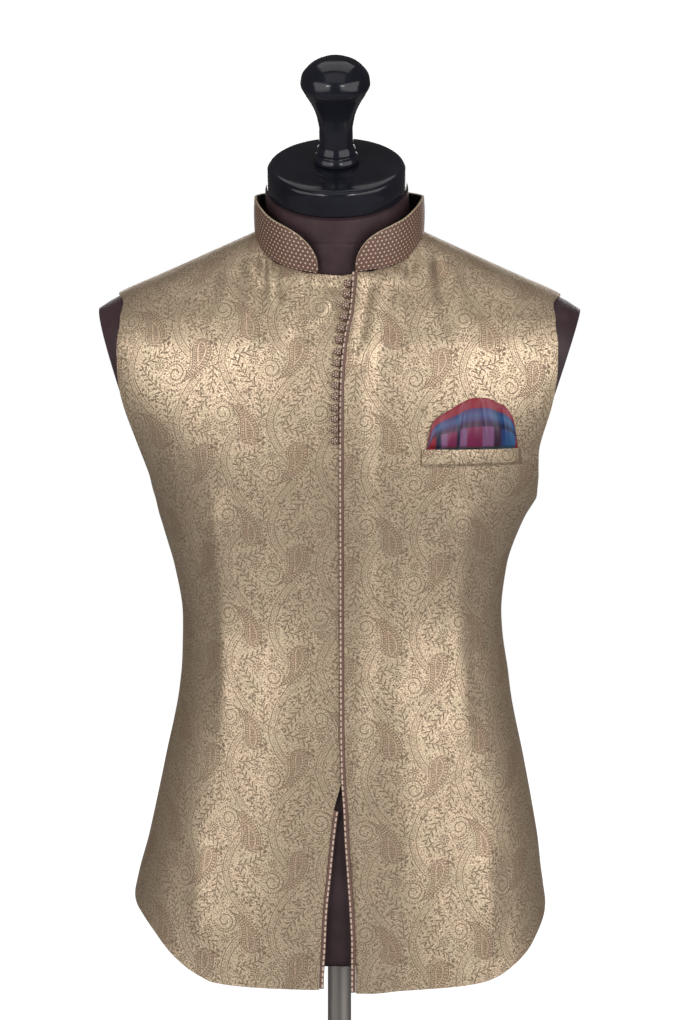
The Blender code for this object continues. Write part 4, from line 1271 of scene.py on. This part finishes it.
# Colours, as linear light
GOLD_DEEP = (0.365, 0.265, 0.170)
GOLD_PALE = (0.730, 0.585, 0.430)
GOLD_PINK = (0.480, 0.300, 0.220)
GOLD_GREEN = (0.520, 0.450, 0.300)
MOTIF_BROWN = (0.185, 0.125, 0.072)
MOTIF_DARK = (0.080, 0.050, 0.025)
CONTRAST_BROWN = (0.195, 0.095, 0.068)
CONTRAST_DARK = (0.060, 0.032, 0.023)
DOT_CREAM = (0.700, 0.560, 0.450)
DOT_SHADE = (0.480, 0.360, 0.280)
EDGE_OLIVE = (0.380, 0.310, 0.200)
REVERSE_BROWN = (0.130, 0.090, 0.060)
REVERSE_BLACK = (0.012, 0.010, 0.010)
LEATHER = (0.056, 0.031, 0.036)
# The form's own leather made darker for the arm plates: painted shade
SHADED_PLATE_LEATHER = (0.045, 0.027, 0.036)
LACQUER = (0.0070, 0.0075, 0.0120)
LACQUER_PALE = (0.0130, 0.0135, 0.0200)
STEEL = (0.420, 0.390, 0.360)
STEEL_DARK = (0.260, 0.240, 0.220)
SILK_RED = (0.250, 0.008, 0.018)
SILK_MAGENTA = (0.170, 0.008, 0.055)
SILK_LILAC = (0.200, 0.080, 0.180)
SILK_NAVY = (0.004, 0.005, 0.028)
SILK_BLUE = (0.013, 0.033, 0.140)
SILK_CYAN = (0.020, 0.105, 0.240)
SILK_GREEN = (0.010, 0.080, 0.070)
SILK_PLUM = (0.030, 0.004, 0.022)

# Distances in the small patterns
DOT_PITCH = 4.6 * MM
DOT_RISE = 7.6 * MM
DOT_RADIUS = 0.85 * MM
BUTTON_DOT_PITCH = 2 * math.pi * BUTTON_RADIUS / 5
BUTTON_DOT_RADIUS = 1.05 * MM
PIPING_DASH = 5.6 * MM
PIPING_LEFT_ROW = 0.00325
PIPING_RIGHT_ROW = 0.00175
SQUARE_WIDTH = 0.110
SQUARE_LENGTH = 0.062

# The brocade's repeat, in units of about a millimetre. Its second motif is the first one turned over, top to
# bottom, and moved by half the repeat across and by TURN_OVER.
UNIT = 1.01 * MM
REPEAT_ACROSS = 92.0
REPEAT_ALONG = 98.0
TURN_OVER = 0.594 * REPEAT_ALONG
CELL_LEFT = -43.0
CELL_TOP = -49.0

# Arcs in the motif: centre, radius, and the angles between which it runs, in degrees
Arc = namedtuple("Arc", "x y radius start end")
PAISLEY = Arc(-6.0, 20.7, 31.7, -82.0, 18.0)
BANDS = (
    Arc(44.0, 50.4, 45.0, 181.0, 230.0),
    Arc(77.1, -64.0, 80.0, 133.5, 170.0),
    Arc(24.0, 44.0, 38.0, -74.0, -58.0),
)
SPRAYS = (
    Arc(-9.5, -1.0, 46.5, -22.0, 8.0),
    Arc(39.8, 48.3, 83.0, -154.0, -130.0),
    Arc(12.0, 6.0, 37.0, 46.0, 92.0),
)
Daisy = namedtuple("Daisy", "x y petals radius")
DAISIES = (
    Daisy(-16.0, 10.0, 12, 5.4),
    Daisy(0.5, 17.5, 8, 4.3),
    Daisy(25.0, -20.0, 6, 3.4),
)
SPRIGS = ((-9.0, 31.0), (38.0, 26.0), (-22.0, -21.0), (10.0, -28.0))


def polar(net, place, x, y, middle=0.0):
    """Distance from a centre, and angle round it, in radians from the middle direction."""
    away = net.vector("SUBTRACT", place, (x, y, 0.0))
    turned = net.turned(away, -math.radians(middle)) if middle else away
    side, along = net.split(turned)
    return net.vector("LENGTH", away, result=1), along.maths("ARCTAN2", side)


def arc_place(net, place, arc):
    """Distance out from an arc, angle along it from its middle, and whether that is between its ends."""
    away, angle = polar(net, place, arc.x, arc.y, (arc.start + arc.end) / 2)
    return away - arc.radius, angle, angle.near(0.0, math.radians(arc.end - arc.start) / 2)


def beads(angle, count, fill=0.27):
    """Dashes round a centre, this many in a full turn."""
    return (angle * (count / (2 * math.pi))).fract().near(0.5, fill)


def pitch_count(arc, pitch):
    return 2 * math.pi * arc.radius / pitch


def paisley(net, place):
    """The paisley: an outline with a fringe, a row of beads, a line, and a filled drop. Its depth too."""
    away, angle = polar(net, place, PAISLEY.x, PAISLEY.y)
    share = net.scale_to(angle, math.radians(PAISLEY.start), math.radians(PAISLEY.end), 0.0, 1.0)
    half_width = (share.maths("POWER", 3.1) * math.pi).maths("SINE").maths("POWER", 0.5) * 9.8
    depth = half_width - abs(away - PAISLEY.radius)
    dashes = beads(angle, pitch_count(PAISLEY, 2.4))
    lines = depth.near(0.9, 0.48).most(depth.near(4.9, 0.42))
    border = depth.near(2.9, 1.1) * dashes
    drop = depth.above(6.8) * beads(angle, pitch_count(PAISLEY, 1.5), 0.3)
    fringe = depth.near(-1.3, 0.8) * dashes * share.near(0.62, 0.36)
    return lines.most(border).most(drop).most(fringe), depth


def curl(net, place):
    """The paisley's curled tip: a spiral with dashes round it."""
    away, angle = polar(net, place, 0.0, 0.0)
    spiral = (away * (1 / 4.9) - angle * (1 / (2 * math.pi))).fract().near(0.5, 0.11) * away.near(5.7, 3.4)
    fringe = away.near(10.9, 0.9) * beads(angle, 28) * angle.above(-2.6)
    return spiral.most(fringe), away.below(13.0)


def daisy(net, place, flower):
    away, angle = polar(net, place, flower.x, flower.y)
    petals = away.near(flower.radius * 0.68, flower.radius * 0.32) * beads(angle, flower.petals, 0.25)
    return petals.most(away.below(flower.radius * 0.2)), away.below(flower.radius + 1.4)


def band(net, place, arc):
    """Two lines with a fine filling between them."""
    off, angle, inside = arc_place(net, place, arc)
    aside = abs(off)
    filling = beads(angle, pitch_count(arc, 1.7)) * aside.near(1.1, 0.75) * 0.6
    return aside.near(3.2, 0.42).most(filling) * inside, aside.below(4.6) * inside


def spray(net, place, arc, pitch=6.2, reach=5.4):
    """A stem with leaves along it by turns."""
    off, angle, inside = arc_place(net, place, arc)
    aside = abs(off)
    run = angle * (-arc.radius / pitch) - aside * (0.9 / pitch)
    turn = (run + off.maths("SIGN") * 0.25).fract()
    fat = (aside * (math.pi / reach)).maths("SINE").times_plus(0.17, 0.01)
    leaves = turn.maths("COMPARE", 0.5, fat) * aside.below(reach)
    return leaves.most(aside.below(0.45)) * inside, aside.below(reach + 0.8) * inside


def sprig(net, place, x, y):
    away, angle = polar(net, place, x, y)
    return (beads(angle, 3, 0.2) * away.near(2.7, 1.5)).most(away.below(0.6)), away.below(4.8)


def motif_group():
    """The lines of one motif, its paisley's body, and the ground that it leaves clear. The place given is in
    units to the right of its curl and down."""
    net = Net("paisley motif", group=True)
    place = net.entry("Place", "NodeSocketVector")
    x, y = net.split(place)
    across = x.times_plus(1 / REPEAT_ACROSS, -CELL_LEFT / REPEAT_ACROSS).fract()
    down = y.times_plus(1 / REPEAT_ALONG, -CELL_TOP / REPEAT_ALONG).fract()
    cell = net.join(
        across.times_plus(REPEAT_ACROSS, CELL_LEFT),
        down.times_plus(REPEAT_ALONG, CELL_TOP),
    )
    lines, depth = paisley(net, cell)
    kept = depth.above(-2.2)
    shapes = [curl(net, cell)]
    shapes += [daisy(net, cell, flower) for flower in DAISIES]
    shapes += [band(net, cell, arc) for arc in BANDS]
    shapes += [spray(net, cell, arc) for arc in SPRAYS]
    shapes += [sprig(net, cell, *spot) for spot in SPRIGS]
    for drawn, room in shapes:
        lines, kept = lines.most(drawn), kept.most(room)
    net.give("Lines", lines)
    net.give("Body", depth.above(0.5))
    net.give("Kept", kept)
    return net.tree


def scattered_leaves(net, place, lean, scale, size=0.25):
    """Small leaf marks all over, leaning this many degrees."""
    leaning = net.turned(place, math.radians(lean))
    narrow = net.vector("MULTIPLY", leaning, (1.0, 2.3, 1.0))
    return net.cells(narrow, scale, 0.8).below(size)


def brocade_finish(name, group, across, along, edge=None):
    """Brocade with one of its motifs at this place in the flat cloth, and painted shade along an edge where
    one is given."""
    net = Net(name)
    place = net.cloth_place()
    wander = net.noise(place, 55.0, 1.0)
    side, up = net.split(place)
    x = side.times_plus(1 / UNIT, -across / UNIT) + wander * 1.6
    y = up.times_plus(-1 / UNIT, along / UNIT) + wander * 1.6
    spot = net.join(x, y)
    first = net.use(group, spot)
    second = net.use(group, net.join(x - REPEAT_ACROSS / 2, TURN_OVER - y))
    figure = first[0].most(second[0])
    bodies = first[1].most(second[1])
    kept = first[2].most(second[2])
    which = net.noise(spot, 0.085, 0.0).above(0.5)
    one, other = (scattered_leaves(net, spot, lean, 0.15, 0.27) for lean in (38.0, -52.0))
    leaves = one * which + other * (1.0 - which)
    figure = figure.most(leaves * (1.0 - kept))
    strokes = scattered_leaves(net, spot, 24.0, 0.33, 0.28)
    figure = figure.most(strokes * 0.62)
    speckle = net.noise(place, 700.0, 1.0, 0.6)
    cast = net.noise(place, 42.0, 1.0)
    slub = net.noise(place, 60.0, 3.0)
    thread = net.scale_to(speckle, 0.38, 0.58, 0.0, 1.0)
    ground = net.blend(thread, GOLD_DEEP, GOLD_PALE)
    ground = net.blend(net.scale_to(cast, 0.45, 0.62, 0.0, 0.30), ground, GOLD_GREEN)
    ground = net.blend(bodies * 0.30, ground, GOLD_PINK)
    drawn = net.blend(thread, MOTIF_DARK, MOTIF_BROWN)
    colour = net.blend(figure * 0.82, ground, drawn)
    colour = net.blend(net.scale_to(slub, 0.3, 0.7, 0.0, 0.14), colour, MOTIF_BROWN)
    # Painted shade along the given edge, in the motifs' dark brown
    if edge is not None:
        colour = net.blend(edge(net) * 0.50, colour, MOTIF_DARK)
    weave = net.bump(speckle, 0.00035, 0.5)
    metal = net.scale_to(figure, 0.0, 1.0, 0.78, 0.35)
    rough = net.scale_to(figure, 0.0, 1.0, 0.42, 0.6)
    return net.finish(Base_Color=colour, Roughness=rough, Metallic=metal, Normal=weave)


def welt_stitch_and_shade(net):
    """Dark bands near the welt's lower and side edges: a stitched line, and painted shade of its fold."""
    made = net.node("ShaderNodeUVMap", uv_map="share")
    across, up = net.split(Term(net, made.outputs[0]))
    return (1.0 - up.above(0.13)).most(1.0 - across.above(0.012)).most(across.above(1.012))


def plain_finish(name, colour, roughness, metallic=0.0):
    net = Net(name)
    grain = net.noise(net.object_place(), 700.0, 2.0)
    shade = net.blend(net.scale_to(grain, 0.3, 0.7, 0.0, 1.0), tuple(0.8 * c for c in colour), colour)
    return net.finish(Base_Color=shade, Roughness=roughness, Metallic=metallic)


def speckled(net, place, scale, dark, pale, low=0.34, high=0.64):
    """Two shades that a fine noise mixes, and the noise."""
    grain = net.noise(place, scale, 2.0, 0.6)
    return net.blend(net.scale_to(grain, low, high, 0.0, 1.0), dark, pale), grain


def dotted_finish(name, pitch, rise, radius):
    """Brown brocade with staggered rows of pale woven dots, this far apart along a row and twice the rows'
    distance up."""
    net = Net(name)
    place = net.cloth_place()
    side, up = net.split(place)
    along = side * (1 / pitch)
    one = up.times_plus(1 / rise, along).fract() - 0.5
    other = up.times_plus(-1 / rise, along).fract() - 0.5
    off_dot = net.join((one + other) * (pitch / 2), (one - other) * (rise / 2))
    from_dot = net.vector("LENGTH", off_dot, result=1)
    dots = net.scale_to(from_dot, radius * 0.85, radius * 1.15, 1.0, 0.0)
    # A dark ring round each raised dot, mixed into the ground below: painted shade
    shade = net.scale_to(from_dot, radius * 1.1, radius * 2.0, 1.0, 0.0)
    ground, grain = speckled(net, place, 1400.0, CONTRAST_DARK, CONTRAST_BROWN, 0.36, 0.60)
    ground = net.blend(shade * 0.45, ground, CONTRAST_DARK)
    pale, _ = speckled(net, place, 1700.0, DOT_SHADE, DOT_CREAM)
    colour = net.blend(dots, ground, pale)
    raised = net.bump(dots * 0.5 + grain * 0.4, 0.0004, 0.6)
    return net.finish(Base_Color=colour, Roughness=0.48, Metallic=0.15, Normal=raised)


def piping_finish(name, row):
    """Brown cord covering with a row of pale dashes along it, this far round it."""
    net = Net(name)
    place = net.cloth_place()
    along, around = net.split(place)
    dash = (along * (1 / PIPING_DASH)).fract().near(0.5, 0.33) * around.near(row, 0.00062)
    seam = (along * (1 / PIPING_DASH)).fract().near(0.02, 0.10)
    ground, grain = speckled(net, place, 1500.0, CONTRAST_DARK, CONTRAST_BROWN)
    ground = net.blend(seam * 0.5, ground, CONTRAST_DARK)
    pale, _ = speckled(net, place, 1800.0, DOT_SHADE, DOT_CREAM)
    raised = net.bump(dash * 0.5 + grain * 0.4, 0.0004, 0.6)
    return net.finish(Base_Color=net.blend(dash, ground, pale), Roughness=0.5, Normal=raised)


def cord_finish():
    """Covered cord, its threads lying slantwise."""
    net = Net("brown cord")
    place = net.cloth_place()
    along, around = net.split(place)
    twist = (along * (1 / 0.0016) + around * 200.0).fract()
    ridge = abs(twist - 0.5)
    # Darker where the bump sinks between the threads: painted shade in the grooves
    colour = net.blend(net.scale_to(ridge, 0.1, 0.5, 0.0, 1.0), CONTRAST_BROWN, CONTRAST_DARK)
    raised = net.bump(ridge, -0.0004, 0.7)
    return net.finish(Base_Color=colour, Roughness=0.5, Normal=raised)


def silk_finish():
    """Silk in a generic check: stripes across, and a blue zone, a red border and a green foot along."""
    net = Net("checked silk")
    place = net.cloth_place()
    side, up = net.split(place)
    stripes = net.ramp(
        side * (1 / SQUARE_WIDTH), (0.0, SILK_RED), (0.135, SILK_RED), (0.15, SILK_NAVY), (0.185, SILK_NAVY),
        (0.20, SILK_LILAC), (0.235, SILK_LILAC), (0.26, SILK_MAGENTA), (0.335, SILK_MAGENTA),
        (0.35, SILK_NAVY), (0.37, SILK_NAVY), (0.385, SILK_LILAC), (0.435, SILK_LILAC), (0.45, SILK_MAGENTA),
        (0.59, SILK_MAGENTA), (0.605, SILK_LILAC), (0.70, SILK_LILAC), (0.72, SILK_PLUM),
        (0.775, SILK_PLUM), (0.79, SILK_BLUE), (0.93, SILK_CYAN), (0.95, SILK_RED),
    )
    zones = net.ramp(
        up * (1 / SQUARE_LENGTH), (0.0, SILK_GREEN), (0.13, SILK_GREEN), (0.16, SILK_MAGENTA),
        (0.50, SILK_MAGENTA), (0.53, SILK_NAVY), (0.60, SILK_NAVY), (0.63, SILK_BLUE), (0.72, SILK_CYAN),
        (0.82, SILK_BLUE), (0.84, SILK_RED), (1.0, SILK_RED),
    )
    cover = net.ramp(
        up * (1 / SQUARE_LENGTH), (0.0, (0.7,) * 3), (0.13, (0.7,) * 3), (0.16, (0.0,) * 3),
        (0.50, (0.0,) * 3), (0.53, (0.75,) * 3), (0.81, (0.72,) * 3), (0.84, (0.92,) * 3),
    )
    weave = net.noise(place, 2600.0, 1.0)
    colour = net.blend(cover, stripes, zones)
    colour = net.blend(net.scale_to(weave, 0.3, 0.7, 0.0, 0.30), colour, SILK_NAVY)
    fine = net.bump(weave, 0.0002, 0.4)
    return net.finish(Base_Color=colour, Roughness=0.42, Normal=fine)


def leather_finish(name, colour, roughness):
    net = Net(name)
    place = net.object_place()
    mottle = net.noise(place, 38.0, 4.0)
    grain = net.noise(place, 620.0, 3.0, 0.65)
    dark = tuple(0.62 * part for part in colour)
    shade = net.blend(net.scale_to(mottle, 0.35, 0.68, 0.0, 1.0), dark, colour)
    pores = net.bump(grain, 0.0005, 0.35)
    rough = net.scale_to(grain, 0.3, 0.7, roughness - 0.08, roughness + 0.08)
    net.shader.inputs["Specular IOR Level"].default_value = 0.32
    return net.finish(Base_Color=shade, Roughness=rough, Normal=pores)


def lacquer_finish():
    net = Net("black lacquer")
    place = net.object_place()
    cloud = net.noise(place, 22.0, 3.0)
    shade = net.blend(net.scale_to(cloud, 0.3, 0.7, 0.0, 1.0), LACQUER, LACQUER_PALE)
    rough = net.scale_to(net.noise(place, 55.0, 4.0), 0.3, 0.7, 0.10, 0.20)
    net.shader.inputs["Specular IOR Level"].default_value = 0.33
    return net.finish(Base_Color=shade, Roughness=rough)


def steel_finish(name, stretch):
    """Brushed steel, its marks drawn out by these factors on X, Y and Z."""
    net = Net(name)
    place = net.vector("MULTIPLY", net.object_place(), stretch)
    brushed = net.noise(place, 90.0, 4.0, 0.6)
    shade = net.blend(net.scale_to(brushed, 0.3, 0.7, 0.0, 1.0), STEEL_DARK, STEEL)
    rough = net.scale_to(brushed, 0.3, 0.7, 0.28, 0.42)
    marks = net.bump(brushed, 0.0002, 0.2)
    return net.finish(Base_Color=shade, Roughness=rough, Metallic=1.0, Normal=marks)


def make_camera():
    elevation, azimuth = math.radians(9.0), math.radians(2.0)
    away = Vector((math.sin(azimuth) * math.cos(elevation), -math.cos(azimuth) * math.cos(elevation),
                   math.sin(elevation)))
    target = Vector((0.0, 0.0, 0.6416))
    camera = bpy.data.cameras.new("camera")
    camera.sensor_fit = "VERTICAL"
    camera.sensor_height = 36.0
    camera.lens = 5155 * 36.0 / 1020
    holder = bpy.data.objects.new("camera", camera)
    holder.location = target + away * 5.0
    holder.rotation_euler = (-away).to_track_quat("-Z", "Y").to_euler()
    bpy.context.scene.collection.objects.link(holder)
    bpy.context.scene.camera = holder


def add_light(name, azimuth, elevation, distance, size, power, colour=(1, 1, 1)):
    light = bpy.data.lights.new(name, "AREA")
    light.shape = "RECTANGLE"
    light.size, light.size_y = size
    light.energy = power
    light.color = colour
    azimuth, elevation = math.radians(azimuth), math.radians(elevation)
    away = Vector((math.sin(azimuth) * math.cos(elevation), -math.cos(azimuth) * math.cos(elevation),
                   math.sin(elevation)))
    holder = bpy.data.objects.new(name, light)
    holder.location = Vector((0, 0, 0.65)) + away * distance
    holder.rotation_euler = (-away).to_track_quat("-Z", "Y").to_euler()
    bpy.context.scene.collection.objects.link(holder)


def make_light():
    add_light("key_left", -42, 12, 3.2, (3.2, 2.8), 70)
    add_light("key_right", 49, 12, 3.2, (3.8, 2.8), 86)
    add_light("top_front", 0, 58, 3.0, (2.6, 1.6), 9)
    add_light("overhead", 180, 80, 3.0, (3.0, 2.0), 26)
    add_light("lamp_left", -22, 24, 3.0, (0.35, 0.25), 8)
    add_light("lamp_right", 24, 24, 3.0, (0.35, 0.25), 8)
    add_light("back", 180, 5, 3.6, (2.4, 1.6), 34)
    world = bpy.data.worlds.new("studio")
    world.use_nodes = True
    bpy.context.scene.world = world
    tree = world.node_tree
    room = tree.nodes["Background"]
    room.inputs["Color"].default_value = (1.0, 0.90, 0.82, 1.0)
    room.inputs["Strength"].default_value = 0.075
    seen = tree.nodes.new("ShaderNodeBackground")
    seen.inputs["Color"].default_value = (1.0, 1.0, 1.0, 1.0)
    seen.inputs["Strength"].default_value = 1.0
    path = tree.nodes.new("ShaderNodeLightPath")
    mixed = tree.nodes.new("ShaderNodeMixShader")
    tree.links.new(path.outputs["Is Camera Ray"], mixed.inputs[0])
    tree.links.new(room.outputs[0], mixed.inputs[1])
    tree.links.new(seen.outputs[0], mixed.inputs[2])
    tree.links.new(mixed.outputs[0], tree.nodes["World Output"].inputs["Surface"])
    bpy.context.scene.view_settings.view_transform = "Standard"


def make_floor():
    """A pale round floor, lit evenly in sight."""
    count, radius = 96, 2.2
    angles = np.linspace(0, 2 * np.pi, count + 1)[:-1]
    ring = [(radius * math.cos(a), radius * math.sin(a), -0.0005) for a in angles]
    mesh = bpy.data.meshes.new("floor")
    mesh.from_pydata(ring, [], [list(range(count))])
    finish = bpy.data.materials.new("pale floor")
    finish.use_nodes = True
    tree = finish.node_tree
    matte = tree.nodes["Principled BSDF"]
    matte.inputs["Base Color"].default_value = (0.30, 0.30, 0.31, 1.0)
    matte.inputs["Roughness"].default_value = 0.9
    matte.inputs["Specular IOR Level"].default_value = 0.1
    glow = tree.nodes.new("ShaderNodeEmission")
    glow.inputs["Strength"].default_value = 0.90
    both = tree.nodes.new("ShaderNodeAddShader")
    path = tree.nodes.new("ShaderNodeLightPath")
    mixed = tree.nodes.new("ShaderNodeMixShader")
    tree.links.new(matte.outputs[0], both.inputs[0])
    tree.links.new(glow.outputs[0], both.inputs[1])
    tree.links.new(path.outputs["Is Camera Ray"], mixed.inputs[0])
    tree.links.new(matte.outputs[0], mixed.inputs[1])
    tree.links.new(both.outputs[0], mixed.inputs[2])
    tree.links.new(mixed.outputs[0], tree.nodes["Material Output"].inputs["Surface"])
    new_object("floor", mesh, finish)


motifs = motif_group()
brocade_left = brocade_finish("gold brocade, left front", motifs, 0.0293, 0.1790)
brocade_right = brocade_finish("gold brocade, right front", motifs, -0.0132, 0.3860)
brocade_welt = brocade_finish("gold brocade, pocket welt", motifs, 0.1200, 0.5100, welt_stitch_and_shade)
brocade_back = brocade_finish("gold brocade, back", motifs, 0.0180, 0.2100)
reverse = plain_finish("brocade reverse", REVERSE_BROWN, 0.7)
collar_brocade = dotted_finish("brown dotted brocade", DOT_PITCH, DOT_RISE, DOT_RADIUS)
button_dots = (BUTTON_DOT_PITCH, BUTTON_DOT_PITCH, BUTTON_DOT_RADIUS)
button_brocade = dotted_finish("brown dotted button cover", *button_dots)
collar_reverse = plain_finish("collar reverse", REVERSE_BLACK, 0.6)
left_piping = piping_finish("brown dashed piping, left", PIPING_LEFT_ROW)
right_piping = piping_finish("brown dashed piping, right", PIPING_RIGHT_ROW)
cord = cord_finish()
silk = silk_finish()
leather = leather_finish("brown leather", LEATHER, 0.45)
# The same leather darkened for the arm plates: painted shade
shaded_plate_leather = leather_finish("shaded arm plate leather", SHADED_PLATE_LEATHER, 0.42)
lacquer = lacquer_finish()
pole_steel = steel_finish("brushed steel pole", (1.0, 1.0, 0.04))
base_steel = steel_finish("brushed steel base", (1.0, 0.06, 1.0))

left_front, right_front = make_fronts({1: [brocade_left, reverse], -1: [brocade_right, reverse]})
back = make_back([brocade_back, reverse])
collar = make_collar([collar_brocade, collar_reverse], plain_finish("collar edge cord", EDGE_OLIVE, 0.6))
make_piping(left_piping, right_piping)
make_buttons(button_brocade, cord)
welt = make_welt([brocade_welt, reverse])
square = make_square(silk)
make_form(leather, shaded_plate_leather)
make_cap(lacquer)
make_stand(pole_steel, base_steel)
make_camera()
make_light()
make_floor()
